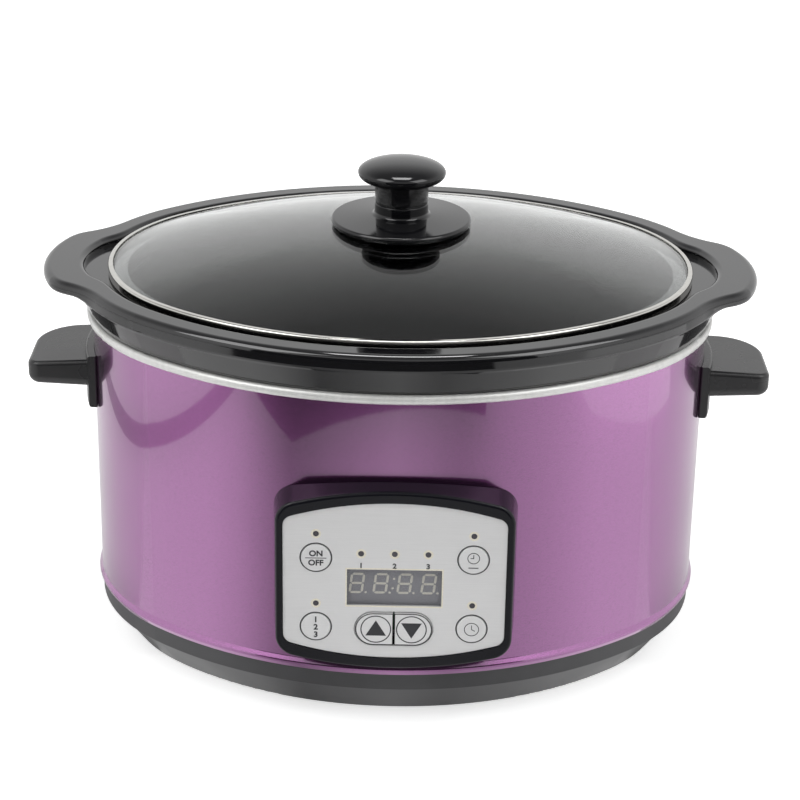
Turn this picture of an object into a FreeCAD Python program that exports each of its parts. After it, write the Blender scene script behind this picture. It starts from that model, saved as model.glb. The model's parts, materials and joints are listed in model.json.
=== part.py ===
"""Oval digital slow cooker: steel housing, stoneware crock, glass lid and a flat control panel.

Millimetres. +X runs to the right-hand handle, -Y to the control panel, +Z up.
The origin is the centre of the oval on the plane that the feet stand on.
"""
import FreeCAD, Part
import math
import os

vec = FreeCAD.Vector
UP = vec(0, 0, 1)
BACK = vec(0, 1, 0)

# Oval plan of the shell's outer face: two end arcs and two side arcs
half_width = 174.0
half_depth = 135.0
end_radius = 112.0

# General fits
clearance = 0.3
screw_clearance = 0.15
sheet = 0.8
edge_round = 0.6
cut_past = 1.0
floor_inset = 50.0

# Heights, from the resting plane upwards
foot_height = 2.5
lower_tier_height = 20.5
upper_tier_height = 10.0
shell_height = 160.0
rim_bead_height = 5.2
crock_collar_height = 24.3
lid_recess_depth = 4.9

# Base moulding
base_inset = 0.4
base_wall = 2.6
base_floor = 2.5
tier_step = 2.6
base_taper = 14.0
base_lip_height = 5.0
base_foot_round = 2.5
base_inner_round = 3.0
base_floor_round = 4.0
ridge_rise = 1.0
ridge_round = 0.8
vent_width = 5.0
vent_length = 46.0
vent_pitch = 13.0
vent_count = 7
foot_radius = 11.0
foot_seat = 1.0
foot_taper = 1.5
foot_round = 0.8
foot_x = 100.0
foot_y = 58.0

# Shell
shell_wall = 1.0
bead_height = 6.0
bead_proud = 2.0
bead_root = 0.5
bead_round = 2.0
bead_blend = 1.0

# Heating liner and what hangs on it
liner_gap = 11.0
liner_floor_above_base = 19.0
liner_corner = 14.0
rim_proud = 3.2
rim_hook = 1.2
rim_low_round = 2.2
rim_high_round = 2.4
rim_inner_round = 1.8
heater_thickness = 2.0
heater_low = 72.0
heater_height = 60.0
heater_slot = 14.0
strap_height = 12.0
strap_lug = 7.0
strap_screw_radius = 1.5
strap_screw_head_radius = 2.5
strap_screw_head = 1.6
shield_drop = 8.0
shield_margin = 3.5
post_x = 78.0
post_y = 52.0
post_radius = 5.0
post_neck_radius = 3.4
boss_height = 9.0
boss_radius = 7.0
base_screw_radius = 2.0
base_screw_head_radius = 3.8
base_screw_head = 2.6

# Crock
crock_gap = 2.4
crock_wall = 8.0
crock_floor = 9.0
crock_taper = 7.0
crock_corner = 18.0
crock_inner_corner = 14.0
collar_foot = 1.0
collar_foot_round = 2.5
flare_reach = 9.6
flare_depth = 6.8
flare_radius = 6.0
lip_flare = 9.0
lip_width = 15.0
lip_round = 4.0
lip_under_round = 2.5
lip_inner_round = 3.5
seat_width = 14.5
ear_reach = 27.0
ear_edge_height = 8.5
ear_tip_radius = 85.0
ear_corner_radius = 24.0
ear_corner_y = 24.8
ear_blend_radius = 55.0
recess_reach = 4.0
recess_tip_radius = 60.0
recess_corner_radius = 25.0
recess_corner_y = 16.0
recess_blend_radius = 40.0

# Lid
lid_gap = 3.4
glass_thickness = 3.7
dome_height = 23.4
knob_seat_share = 0.2
rim_cover = 2.8
lid_rim_round = 1.2

# Knob
skirt_radius = 39.5
skirt_edge = 3.6
skirt_flat = 18.0
skirt_droop = 1.2
skirt_edge_round = 1.2
skirt_crown = 0.9
skirt_blend = 2.2
neck_radius = 14.95
collar_height = 11.4
cap_radius = 24.5
cap_crown = 7.3
cap_flat_radius = 1.5
cap_under = 4.9
cap_tuck = 7.0
neck_height = 12.4
neck_blend = 1.2
groove_height = 0.8
groove_depth = 0.9
gasket_thickness = 1.0
gasket_radius = 14.0
knob_screw_radius = 2.5
knob_screw_length = 28.0
knob_screw_head = 2.6
knob_screw_round = 1.2
washer_radius = 11.0
washer_thickness = 1.5
washer_round = 0.5

# Side handles
handle_reach = 35.5
handle_half_width = 29.5
handle_front_corner = 7.0
handle_back_corner = 24.0
handle_drop = 21.2
handle_root_height = 19.0
handle_tip_height = 13.5
handle_tip_drop = 3.0
handle_top_round = 2.5
handle_low_round = 5.6
plate_thickness = 5.0
plate_drop = 19.0
plate_height = 31.0
plate_margin = 2.0
plate_round = 1.5
plate_bevel = 1.0
pocket_wall = 5.0
pocket_root = 7.0
pocket_corner = 4.0
handle_screw_angle = 13.0
handle_screw_drop = 33.0
handle_screw_radius = 2.0
handle_screw_head_radius = 3.8
handle_screw_head = 2.4
handle_screw_depth = 7.5

# Control panel
panel_proud = 11.0
face_half_width = 59.0
face_low = 49.3
face_high = 140.8
face_arch = 9.4
face_corner = 6.0
face_thickness = 1.5
face_recess = 0.8
bezel_side = 4.0
bezel_top = 6.6
bezel_corner = 12.0
bezel_wall = 3.0
bezel_ledge = 3.0
bezel_draft = 2.0
bezel_round = 2.0
window_half_width = 25.1
window_low = 80.6
window_high = 102.0
window_flange = 1.5
window_flange_thickness = 0.8
display_depth = 7.0
display_inset = 1.0
board_half_width = 57.0
board_low = 61.0
board_high = 129.0
board_thickness = 1.6
board_setback = 10.4
board_post_x = 54.0
board_post_inset = 5.0
board_post_radius = 3.0
board_screw_radius = 1.3
board_screw_head_radius = 2.5
panel_screw_x = 22.0
panel_screw_inset = 4.6
panel_boss_radius = 3.4
panel_screw_radius = 1.5
panel_screw_head_radius = 2.8
panel_screw_head = 2.0
screw_blind = 1.0
cutout_half_width = 46.0

# Push buttons and lamps on the panel
button_radius = 7.8
button_x = 41.5
button_upper_z = 108.7
button_lower_z = 67.6
button_proud = 0.8
button_travel = 0.8
button_flange = 1.0
button_flange_thickness = 1.0
button_stem_radius = 2.2
button_edge_round = 0.5
arrow_half_length = 20.5
arrow_half_height = 9.6
arrow_z = 66.8
arrow_gap = 0.8
switch_size = 6.0
switch_body = 3.4
switch_plunger_radius = 1.7
switch_plunger = 1.2
switch_gap = 0.1
lamp_radius = 1.5
lamp_proud = 0.2
lamp_rise = 13.9
lamp_row_z = 111.3
lamp_row_pitch = 17.7

# Parts inside the base
power_board_length = 96.0
power_board_width = 62.0
power_board_y = 34.0
power_board_height = 8.0
power_post_radius = 3.0
power_post_inset = 6.0
relay_length = 19.0
relay_width = 15.5
relay_height = 15.0
relay_x = -30.0
relay_y = 42.0
transformer_length = 32.0
transformer_width = 27.0
transformer_height = 22.0
transformer_x = 8.0
transformer_y = 30.0
capacitor_radius = 7.0
capacitor_height = 17.0
capacitor_x = 36.0
capacitor_y = 20.0
terminal_length = 26.0
terminal_width = 9.0
terminal_height = 11.0
terminal_x = 2.0
terminal_y = 58.0
sensor_radius = 8.0
sensor_flange = 3.0
sensor_taper = 2.0
fuse_radius = 2.5
fuse_length = 14.0
fuse_x = 40.0
fuse_clip_width = 8.0
fuse_clip_foot = 5.0
gland_z = 52.0
gland_flange_radius = 9.5
gland_flange = 4.0
gland_round = 1.2
gland_body_radius = 6.5
gland_body = 9.0
gland_bore_radius = 3.6
gland_nut = 3.0
gland_nut_radius = 8.5
lead_radius = 1.6
lead_half_spacing = 10.5
lead_standoff = 1.0
lead_rise = 9.0
lead_bend = 6.0
ribbon_half_width = 10.0
ribbon_thickness = 1.0
ribbon_start = 14.0
ribbon_gap = 5.0
ribbon_level = 12.0
ribbon_inset = 5.0
ribbon_bend = 5.0
ribbon_tight_bend = 1.5

# Derived plan
end_centre = half_width - end_radius
side_swing = (end_centre ** 2 - (half_depth - end_radius) ** 2) / (2 * (half_depth - end_radius))
side_radius = half_depth + side_swing
turn_angle = math.degrees(math.atan2(side_swing, end_centre))

# Derived heights
base_bottom = foot_height
ridge_z = base_bottom + lower_tier_height
shell_bottom = ridge_z + upper_tier_height
shell_top = shell_bottom + shell_height
rim_top = shell_top + rim_bead_height
lip_top = rim_top + crock_collar_height
lid_seat = lip_top - lid_recess_depth
handle_top = shell_top - handle_drop
plate_top = shell_top - plate_drop
plate_bottom = plate_top - plate_height
lid_bottom = lid_seat + clearance
glass_bottom = lid_bottom + sheet
glass_edge_top = glass_bottom + glass_thickness
crown_rise = dome_height / (1 - knob_seat_share ** 2)
liner_bottom = shell_bottom + liner_floor_above_base
shield_z = liner_bottom - shield_drop
boss_top = base_bottom + base_floor + boss_height
crock_bottom = liner_bottom + sheet + crock_gap

# Derived offsets from the shell's outer face
liner_outer = -shell_wall - liner_gap
liner_inner = liner_outer - sheet
crock_outer = liner_inner - crock_gap
recess_edge = lip_flare - lip_width
seat_edge = recess_edge - seat_width
lid_outer = recess_edge - lid_gap
glass_edge = lid_outer - sheet - clearance
base_outer = -base_inset
floor_offset = -floor_inset

# Derived panel planes, along Y
panel_front = -(half_depth + panel_proud)
face_front = panel_front + face_recess
face_back = face_front + face_thickness
board_front = panel_front + board_setback
board_back = board_front + board_thickness
power_board_z = base_bottom + base_floor + power_board_height
power_board_top = power_board_z + board_thickness


def save(name, shape):
    """Write one node, a solid or a group of separate solids."""
    shape.exportStep("parts/" + name + ".step")


def rounded_wire(corners):
    """Closed wire through (point, radius) corners, each corner rounded by its radius."""
    starts, middles, ends = [], [], []
    for index, (corner, radius) in enumerate(corners):
        before = (corners[index - 1][0] - corner).normalize()
        after = (corners[(index + 1) % len(corners)][0] - corner).normalize()
        half = before.getAngle(after) / 2
        reach = radius / math.tan(half) if radius else 0.0
        starts.append(corner + before * reach)
        ends.append(corner + after * reach)
        inward = (before + after).normalize() if radius else vec()
        middles.append(corner + inward * (radius / math.sin(half) - radius))
    edges = []
    for index, (corner, radius) in enumerate(corners):
        if radius:
            edges.append(Part.Arc(starts[index], middles[index], ends[index]).toShape())
        following = starts[(index + 1) % len(corners)]
        if (following - ends[index]).Length > 1e-6:
            edges.append(Part.LineSegment(ends[index], following).toShape())
    return Part.Wire(edges)


def plan_arcs():
    """Centre, radius, start angle and sweep of the four arcs, anticlockwise from the right end."""
    end_sweep = 2 * turn_angle
    side_sweep = 180 - end_sweep
    return [
        (vec(end_centre, 0, 0), end_radius, -turn_angle, end_sweep),
        (vec(0, -side_swing, 0), side_radius, turn_angle, side_sweep),
        (vec(-end_centre, 0, 0), end_radius, 180 - turn_angle, end_sweep),
        (vec(0, side_swing, 0), side_radius, 180 + turn_angle, side_sweep),
    ]


def direction(degrees):
    return vec(math.cos(math.radians(degrees)), math.sin(math.radians(degrees)), 0)


def oval_wire(offset, z, share=1.0):
    """The plan oval, moved outwards by offset and then shrunk about its centre to a share."""
    edges = []
    for centre, radius, start, sweep in plan_arcs():
        points = [
            (centre + direction(start + sweep * step) * (radius + offset)) * share + UP * z
            for step in (0, 0.5, 1)
        ]
        edges.append(Part.Arc(*points).toShape())
    return Part.Wire(edges)


def oval_prism(offset, low, high):
    return Part.Face(oval_wire(offset, low)).extrude(UP * (high - low))


def oval_ring(corners):
    """Solid ring whose section, given as (offset, height, radius) corners, follows the oval."""
    pieces = []
    for centre, radius, start, sweep in plan_arcs():
        outward = direction(start)
        section = [(centre + outward * (radius + offset) + UP * z, r) for offset, z, r in corners]
        pieces.append(Part.Face(rounded_wire(section)).revolve(centre, UP, sweep))
    return pieces[0].fuse(pieces[1:]).removeSplitter()


def turned(corners, x=0.0, y=0.0):
    """Solid of revolution about a vertical line, from (radius, height, rounding) corners."""
    section = [(vec(x + r, y, z), rounding) for r, z, rounding in corners]
    return Part.Face(rounded_wire(section)).revolve(vec(x, y, 0), UP, 360)


def block(size, centre_x, centre_y, low):
    corner = vec(centre_x - size.x / 2, centre_y - size.y / 2, low)
    return Part.makeBox(size.x, size.y, size.z, corner)


def span_box(x, y, z):
    """Box between two limits along each axis."""
    return Part.makeBox(x[1] - x[0], y[1] - y[0], z[1] - z[0], vec(x[0], y[0], z[0]))


def rod(radius, start, end):
    return Part.makeCylinder(radius, (end - start).Length, start, end - start)


def front_y(offset, x):
    """Y of the front side of an offset oval at a given x."""
    return side_swing - math.sqrt((side_radius + offset) ** 2 - x ** 2)


def mirrored_x(shape):
    return shape.mirror(vec(), vec(1, 0, 0))


def four_places(x, y):
    return [(x, y), (-x, y), (-x, -y), (x, -y)]


def make_base():
    """Two-tier moulded base: a tray with a locating lip, screw bosses, foot seats and vents."""
    floor_top = base_bottom + base_floor
    foot_offset = base_outer - tier_step - base_taper
    lip_outer = -shell_wall - clearance
    lip_inner = lip_outer - base_wall
    wall = oval_ring([
        (floor_offset, base_bottom, 0),
        (foot_offset, base_bottom, base_foot_round),
        (base_outer - tier_step, ridge_z - ridge_rise, edge_round),
        (base_outer, ridge_z, ridge_round),
        (base_outer, shell_bottom, 0),
        (lip_outer, shell_bottom, 0),
        (lip_outer, shell_bottom + base_lip_height, edge_round),
        (lip_inner, shell_bottom + base_lip_height, edge_round),
        (lip_inner, ridge_z + base_wall, base_inner_round),
        (foot_offset - base_wall, floor_top, base_floor_round),
        (floor_offset, floor_top, 0),
    ])
    floor = oval_prism(floor_offset, base_bottom, floor_top)
    raised = []
    for x, y in four_places(post_x, post_y):
        raised.append(rod(boss_radius, vec(x, y, floor_top), vec(x, y, boss_top)))
    for x, y in power_board_posts():
        raised.append(rod(power_post_radius, vec(x, y, floor_top), vec(x, y, power_board_z)))
    base = wall.fuse([floor] + raised).removeSplitter()
    cuts = []
    for x, y in four_places(post_x, post_y):
        head_top = floor_top + base_screw_head + clearance
        cuts.append(rod(base_screw_head_radius + clearance, vec(x, y, 0), vec(x, y, head_top)))
        cuts.append(rod(base_screw_radius + screw_clearance, vec(x, y, 0), vec(x, y, boss_top)))
    for x, y in four_places(foot_x, foot_y):
        seat_top = base_bottom + foot_seat
        cuts.append(rod(foot_radius + clearance, vec(x, y, 0), vec(x, y, seat_top)))
    for index in range(vent_count):
        x = (index - (vent_count - 1) / 2) * vent_pitch
        slot = span_box(
            (x - vent_width / 2, x + vent_width / 2),
            (-vent_length - clearance, -clearance),
            (0, floor_top + clearance),
        )
        cuts.append(slot)
    return base.cut(cuts)


def power_board_posts():
    x = power_board_length / 2 - power_post_inset
    y = power_board_width / 2 - power_post_inset
    return [(px, power_board_y + py) for px, py in four_places(x, y)]


def make_foot(x, y):
    """Rubber foot, seated in a shallow recess under the base."""
    return turned([
        (0, 0, 0),
        (foot_radius - foot_taper, 0, foot_round),
        (foot_radius, base_bottom + foot_seat, 0),
        (0, base_bottom + foot_seat, 0),
    ], x, y)


def make_base_screws():
    """Screws up through the base bosses into the posts under the liner."""
    screws = []
    for x, y in four_places(post_x, post_y):
        low = base_bottom + base_floor
        head = rod(base_screw_head_radius, vec(x, y, low), vec(x, y, low + base_screw_head + clearance))
        shank = rod(base_screw_radius, vec(x, y, low), vec(x, y, boss_top + boss_height))
        screws.append(head.fuse(shank).removeSplitter())
    return Part.makeCompound(screws)


def make_tie_post(x, y):
    """Shouldered steel post welded under the liner; the shield rests on its shoulder."""
    wide = rod(post_radius, vec(x, y, boss_top), vec(x, y, shield_z))
    neck = rod(post_neck_radius, vec(x, y, shield_z), vec(x, y, liner_bottom))
    hole_top = boss_top + boss_height + clearance
    hole = rod(base_screw_radius + screw_clearance, vec(x, y, boss_top), vec(x, y, hole_top))
    return wide.fuse(neck).removeSplitter().cut(hole)


def make_heat_shield():
    """Flat reflector sheet under the liner, pierced by the posts and the sensor."""
    sheet_plate = oval_prism(liner_outer - shield_margin, shield_z, shield_z + sheet)
    holes = [
        rod(post_neck_radius + screw_clearance, vec(x, y, shield_z), vec(x, y, shield_z + sheet))
        for x, y in four_places(post_x, post_y)
    ]
    return sheet_plate.cut(holes)


def make_shell():
    """Painted steel wrapper with a bead along its foot, open at the top, the panel and the gland."""
    wrapper = oval_ring([
        (-shell_wall, shell_bottom, 0),
        (bead_root, shell_bottom, 0),
        (bead_proud, shell_bottom + bead_height / 2, bead_round),
        (0, shell_bottom + bead_height, bead_blend),
        (0, shell_top, 0),
        (-shell_wall, shell_top, 0),
    ])
    cuts = [span_box(
        (-cutout_half_width, cutout_half_width),
        (panel_front, front_y(liner_outer, 0)),
        (board_low - bezel_wall, board_high + bezel_wall),
    )]
    for x, z in panel_screw_places():
        cuts.append(rod(panel_screw_radius + screw_clearance, vec(x, panel_front, z), vec(x, 0, z)))
    for start, outward in handle_screw_lines():
        across = outward * liner_gap
        cuts.append(rod(handle_screw_radius + screw_clearance, start - across, start + across))
    gland_end = vec(0, half_depth + gland_flange, gland_z)
    cuts.append(rod(gland_body_radius + clearance, vec(0, half_depth / 2, gland_z), gland_end))
    return wrapper.cut(cuts)


def make_liner():
    """Thin heating pan whose rolled rim sits on the shell's edge and carries the crock."""
    wall = oval_ring([
        (floor_offset, liner_bottom, 0),
        (liner_outer, liner_bottom, liner_corner),
        (liner_outer, rim_top - sheet, rim_inner_round - sheet),
        (-shell_wall - rim_hook, rim_top - sheet, 0),
        (-shell_wall - rim_hook, shell_top, 0),
        (rim_proud, shell_top, rim_low_round),
        (rim_proud, rim_top, rim_high_round),
        (liner_inner, rim_top, rim_inner_round),
        (liner_inner, liner_bottom + sheet, liner_corner - sheet),
        (floor_offset, liner_bottom + sheet, 0),
    ])
    floor = oval_prism(floor_offset, liner_bottom, liner_bottom + sheet)
    return wall.fuse(floor).removeSplitter()


def make_heater_band():
    """Flat heating band round the liner, open at the back where its leads come off."""
    inner = liner_outer + clearance
    band = oval_ring([
        (inner, heater_low, 0),
        (inner + heater_thickness, heater_low, 0),
        (inner + heater_thickness, heater_low + heater_height, 0),
        (inner, heater_low + heater_height, 0),
    ])
    slot_height = (heater_low - clearance, heater_low + heater_height + clearance)
    return band.cut(span_box((-heater_slot / 2, heater_slot / 2), (0, half_depth), slot_height))


def make_heater_strap():
    """Spring-steel strap that draws the band onto the liner, with two upturned lugs at the back."""
    inner = liner_outer + 2 * clearance + heater_thickness
    low = heater_low + (heater_height - strap_height) / 2
    high = low + strap_height
    strap = oval_ring([(inner, low, 0), (inner + sheet, low, 0), (inner + sheet, high, 0), (inner, high, 0)])
    slot_height = (low - clearance, high + clearance)
    slot = span_box((-heater_slot / 2, heater_slot / 2), (0, half_depth), slot_height)
    lug_root = -front_y(inner, heater_slot / 2 + sheet)
    lug_tip = min(lug_root + strap_lug, half_depth - shell_wall - clearance)
    lug = span_box((heater_slot / 2, heater_slot / 2 + sheet), (lug_root, lug_tip), (low, high))
    hole_end = BACK.cross(UP) * heater_slot
    y, z = strap_screw_line()
    hole_middle = vec(0, y, z)
    hole = rod(strap_screw_radius + screw_clearance, hole_middle - hole_end, hole_middle + hole_end)
    return strap.cut(slot).fuse([lug, mirrored_x(lug)]).removeSplitter().cut(hole)


def strap_screw_line():
    """Y and Z of the screw across the strap's lugs."""
    y = half_depth + liner_outer + 2 * clearance + heater_thickness + strap_lug / 2
    return y, heater_low + heater_height / 2


def make_strap_screw():
    """Screw through both of the strap's lugs, which draws them together."""
    y, z = strap_screw_line()
    seat = heater_slot / 2 + sheet
    head_end = seat + strap_screw_head
    head = rod(strap_screw_head_radius, vec(seat, y, z), vec(head_end, y, z))
    shank = rod(strap_screw_radius, vec(-head_end, y, z), vec(seat, y, z))
    return head.fuse(shank).removeSplitter()


def make_crock():
    """Stoneware pot: tapered wall, flared collar with two ears and a recess that seats the lid."""
    inner_foot = crock_outer - crock_taper - crock_wall
    brim = 2 * ear_reach
    wall = oval_ring([
        (floor_offset, crock_bottom, 0),
        (crock_outer - crock_taper, crock_bottom, crock_corner),
        (crock_outer, rim_top, 0),
        (collar_foot, rim_top, collar_foot_round),
        (flare_reach, lip_top - flare_depth, flare_radius),
        (brim, lip_top - ear_edge_height, 0),
        (brim, lip_top, 0),
        (seat_edge, lip_top, 0),
        (inner_foot, crock_bottom + crock_floor, crock_inner_corner),
        (floor_offset, crock_bottom + crock_floor, 0),
    ])
    floor = oval_prism(floor_offset, crock_bottom, crock_bottom + crock_floor)
    outline = Part.Face(lip_wire(crock_bottom - cut_past)).extrude(UP * (lip_top + cut_past))
    recess = Part.Face(recess_wire(lid_seat)).extrude(UP * 2 * lid_recess_depth)
    pot = wall.fuse(floor).removeSplitter().common(outline).cut(recess)
    underside = [e for e in pot.Edges if runs_along(e, lip_wire) and e.BoundBox.ZMax < lip_top - lip_round]
    pot = pot.makeFillet(lip_under_round, underside)
    crest = [e for e in pot.Edges if runs_along(e, lip_wire) and e.BoundBox.ZMin > lip_top - 1e-3]
    pot = pot.makeFillet(lip_round, crest)
    inside = [e for e in pot.Edges if runs_along(e, recess_wire) and e.BoundBox.ZMin > lip_top - 1e-3]
    return pot.makeFillet(lip_inner_round, inside)


def lip_wire(z):
    """Outer edge of the crock's lip, drawn out at both ends into an ear."""
    sizes = (ear_tip_radius, ear_corner_radius, ear_corner_y, ear_blend_radius)
    return lobed_wire(lip_flare, half_width + ear_reach, sizes, z)


def recess_wire(z):
    """Outline of the lid recess: close to the lid in front, roomier at the two ends."""
    sizes = (recess_tip_radius, recess_corner_radius, recess_corner_y, recess_blend_radius)
    return lobed_wire(recess_edge, half_width + recess_reach, sizes, z)


def lobed_wire(offset, tip, sizes, z):
    """Offset oval with a rounded lobe at each end, which leaves the oval by concave arcs."""
    tip_radius, corner_radius, corner_y, blend_radius = sizes
    tip_centre = vec(tip - tip_radius, 0, 0)
    corner_x = tip_centre.x + math.sqrt((tip_radius - corner_radius) ** 2 - corner_y ** 2)
    corner = vec(corner_x, corner_y, 0)
    turn = direction(turn_angle)
    end = vec(end_centre, 0, 0)
    side = vec(0, -side_swing, 0)
    junction = end + turn * (end_radius + offset)
    blend = circles_meet(end, end_radius + offset + blend_radius, corner, corner_radius + blend_radius)
    on_end = math.degrees(math.atan2(blend.y, blend.x - end.x)) < turn_angle
    if not on_end:
        blend = circles_meet(side, side_radius + offset + blend_radius, corner, corner_radius + blend_radius)
    leave = blend + (end - blend if on_end else side - blend).normalize() * blend_radius
    bend = blend + (corner - blend).normalize() * blend_radius
    shoulder = tip_centre + (corner - tip_centre).normalize() * tip_radius
    runs = [(corner, shoulder, bend), (blend, bend, leave)]
    if on_end:
        runs.append((end, leave, junction))
    flank = junction if on_end else leave

    def at(point, sx, sy):
        return vec(point.x * sx, point.y * sy, z)

    edges = []
    for sx, sy in four_places(1, 1):
        edges += [arc(*[at(point, sx, sy) for point in run]) for run in runs]
    for sign in (1, -1):
        edges.append(arc(at(tip_centre, sign, 1), at(shoulder, sign, 1), at(shoulder, sign, -1)))
        edges.append(arc(at(side, 1, sign), at(flank, 1, sign), at(flank, -1, sign)))
    return Part.Wire(Part.sortEdges(edges)[0])


def circles_meet(first, first_radius, second, second_radius):
    """Left-hand point where two circles in the plan cross, seen from the first to the second."""
    across = second - first
    along = (first_radius ** 2 - second_radius ** 2 + across.Length ** 2) / (2 * across.Length)
    aside = math.sqrt(first_radius ** 2 - along ** 2)
    ahead = across.normalize()
    return first + ahead * along + UP.cross(ahead) * aside


def arc(centre, start, end):
    """The shorter arc about a centre between two points."""
    middle = centre + (start + end - centre * 2).normalize() * (start - centre).Length
    return Part.Arc(start, middle, end).toShape()


def runs_along(edge, outline):
    """True for an edge that follows an outline, given as a function of the height."""
    middle = edge.valueAt((edge.FirstParameter + edge.LastParameter) / 2)
    return outline(middle.z).distToShape(Part.Vertex(middle))[0] < edge_round / 10


def make_lid_glass():
    """Domed glass lid with a flat seat at its crown, bored for the knob's screw."""
    outer = dome(glass_edge_top, glass_bottom)
    inner = dome(glass_bottom, glass_bottom - glass_thickness)
    bore_top = vec(0, 0, glass_edge_top + 2 * dome_height)
    bore = rod(knob_screw_radius + clearance, vec(0, 0, glass_bottom), bore_top)
    return outer.cut([inner, bore])


def dome(edge_z, low):
    """Solid dome over the lid's oval: a short upright edge and a crown of shrinking ovals."""
    shares = [1.0, 0.86, 0.7, 0.52, 0.35, knob_seat_share]
    wires = [oval_wire(glass_edge, edge_z + crown_rise * (1 - share ** 2), share) for share in shares]
    crown = Part.makeLoft(wires, True, False)
    edge = oval_prism(glass_edge, low, edge_z)
    return crown.fuse(edge)


def make_lid_rim():
    """Rolled steel band that clasps the edge of the glass."""
    inner = lid_outer - rim_cover
    covered = (glass_edge - inner) / (half_depth + glass_edge)
    under = glass_edge_top + crown_rise * (1 - (1 - covered) ** 2) + screw_clearance
    top = under + sheet / 2
    return oval_ring([
        (inner, lid_bottom, 0),
        (lid_outer, lid_bottom, lid_rim_round),
        (lid_outer, top, lid_rim_round),
        (inner, top, 0),
        (inner, under, 0),
        (lid_outer - sheet, under, 0),
        (lid_outer - sheet, glass_bottom, 0),
        (inner, glass_bottom, 0),
    ])


def knob_levels():
    """Heights of the knob's parts, from the flat crown of the glass upwards."""
    crown = glass_edge_top + dome_height
    skirt = crown + gasket_thickness
    joint = skirt + collar_height
    return crown, skirt, joint


def make_knob_gasket():
    crown, skirt, _ = knob_levels()
    return turned([
        (knob_screw_radius + clearance, crown, 0),
        (gasket_radius, crown, 0),
        (gasket_radius, skirt, 0),
        (knob_screw_radius + clearance, skirt, 0),
    ])


def make_knob_skirt():
    """Wide splash disc with a short collar that the knob stands on."""
    _, skirt, joint = knob_levels()
    bore = knob_screw_radius + clearance
    return turned([
        (bore, skirt, 0),
        (skirt_flat, skirt, 0),
        (skirt_radius - skirt_droop, skirt - skirt_droop, edge_round),
        (skirt_radius, skirt + skirt_edge / 2 - skirt_droop / 2, skirt_edge_round),
        (skirt_radius - skirt_crown, skirt + skirt_edge - skirt_crown, skirt_edge_round),
        (neck_radius, skirt + skirt_edge + skirt_crown, skirt_blend),
        (neck_radius, joint, edge_round),
        (bore, joint, 0),
    ])


def make_knob():
    """Mushroom knob: neck, groove above the collar, flattened oval cap, blind screw bore."""
    _, _, joint = knob_levels()
    cap_low = joint + neck_height
    widest = cap_low + cap_under
    neck = turned([
        (0, joint, 0),
        (neck_radius - groove_depth, joint, 0),
        (neck_radius - groove_depth, joint + groove_height, 0),
        (neck_radius, joint + groove_height, edge_round),
        (neck_radius, widest, 0),
        (0, widest, 0),
    ])
    knob = knob_cap(cap_low, widest).fuse(neck).removeSplitter()
    root = [e for e in knob.Edges if e.BoundBox.ZLength < 1e-3 and abs(e.BoundBox.ZMin - cap_low) < 1e-3]
    root = [e for e in root if e.BoundBox.XMax < neck_radius + edge_round]
    knob = knob.makeFillet(neck_blend, root)
    return knob.cut(rod(knob_screw_radius + clearance, vec(0, 0, joint), vec(0, 0, cap_low)))


def knob_cap(low, widest):
    """Cap with an elliptical crown, flat in its middle, and an elliptical tucked-in underside."""
    edge = vec(cap_radius, 0, widest)
    tuck = vec(cap_radius - cap_tuck, 0, low)
    crown = Part.Ellipse(edge, vec(0, 0, widest + cap_crown), vec(0, 0, widest))
    crown_arc = Part.ArcOfEllipse(crown, 0, math.acos(cap_flat_radius / cap_radius)).toShape()
    under = Part.Ellipse(edge, tuck, vec(tuck.x, 0, widest))
    under_arc = Part.ArcOfEllipse(under, 0, math.pi / 2).toShape()
    flat_edge = crown_arc.valueAt(crown_arc.LastParameter)
    top = vec(0, 0, flat_edge.z)
    bottom = vec(0, 0, low)
    section = [
        crown_arc,
        Part.LineSegment(flat_edge, top).toShape(),
        Part.LineSegment(top, bottom).toShape(),
        Part.LineSegment(bottom, tuck).toShape(),
        under_arc,
    ]
    return Part.Face(Part.Wire(Part.sortEdges(section)[0])).revolve(vec(), UP, 360)


def make_knob_washer():
    bottom = glass_bottom + dome_height
    return turned([
        (knob_screw_radius + clearance, bottom - washer_thickness, 0),
        (washer_radius, bottom - washer_thickness, washer_round),
        (washer_radius, bottom, 0),
        (knob_screw_radius + clearance, bottom, 0),
    ])


def make_knob_screw():
    """Pan-head screw up through the washer, the glass and the skirt into the knob."""
    seat = glass_bottom + dome_height - washer_thickness
    return turned([
        (0, seat - knob_screw_head, 0),
        (2 * knob_screw_radius, seat - knob_screw_head, knob_screw_round),
        (2 * knob_screw_radius, seat, 0),
        (knob_screw_radius, seat, 0),
        (knob_screw_radius, seat + knob_screw_length, edge_round),
        (0, seat + knob_screw_length, 0),
    ])


def handle_screw_lines():
    """Point on the shell's outer face and outward direction of each handle screw."""
    lines = []
    for centre, turn in ((end_centre, 0), (-end_centre, 180)):
        for angle in (turn - handle_screw_angle, turn + handle_screw_angle):
            start = vec(centre, 0, shell_top - handle_screw_drop) + direction(angle) * end_radius
            lines.append((start, direction(angle)))
    return lines


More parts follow.
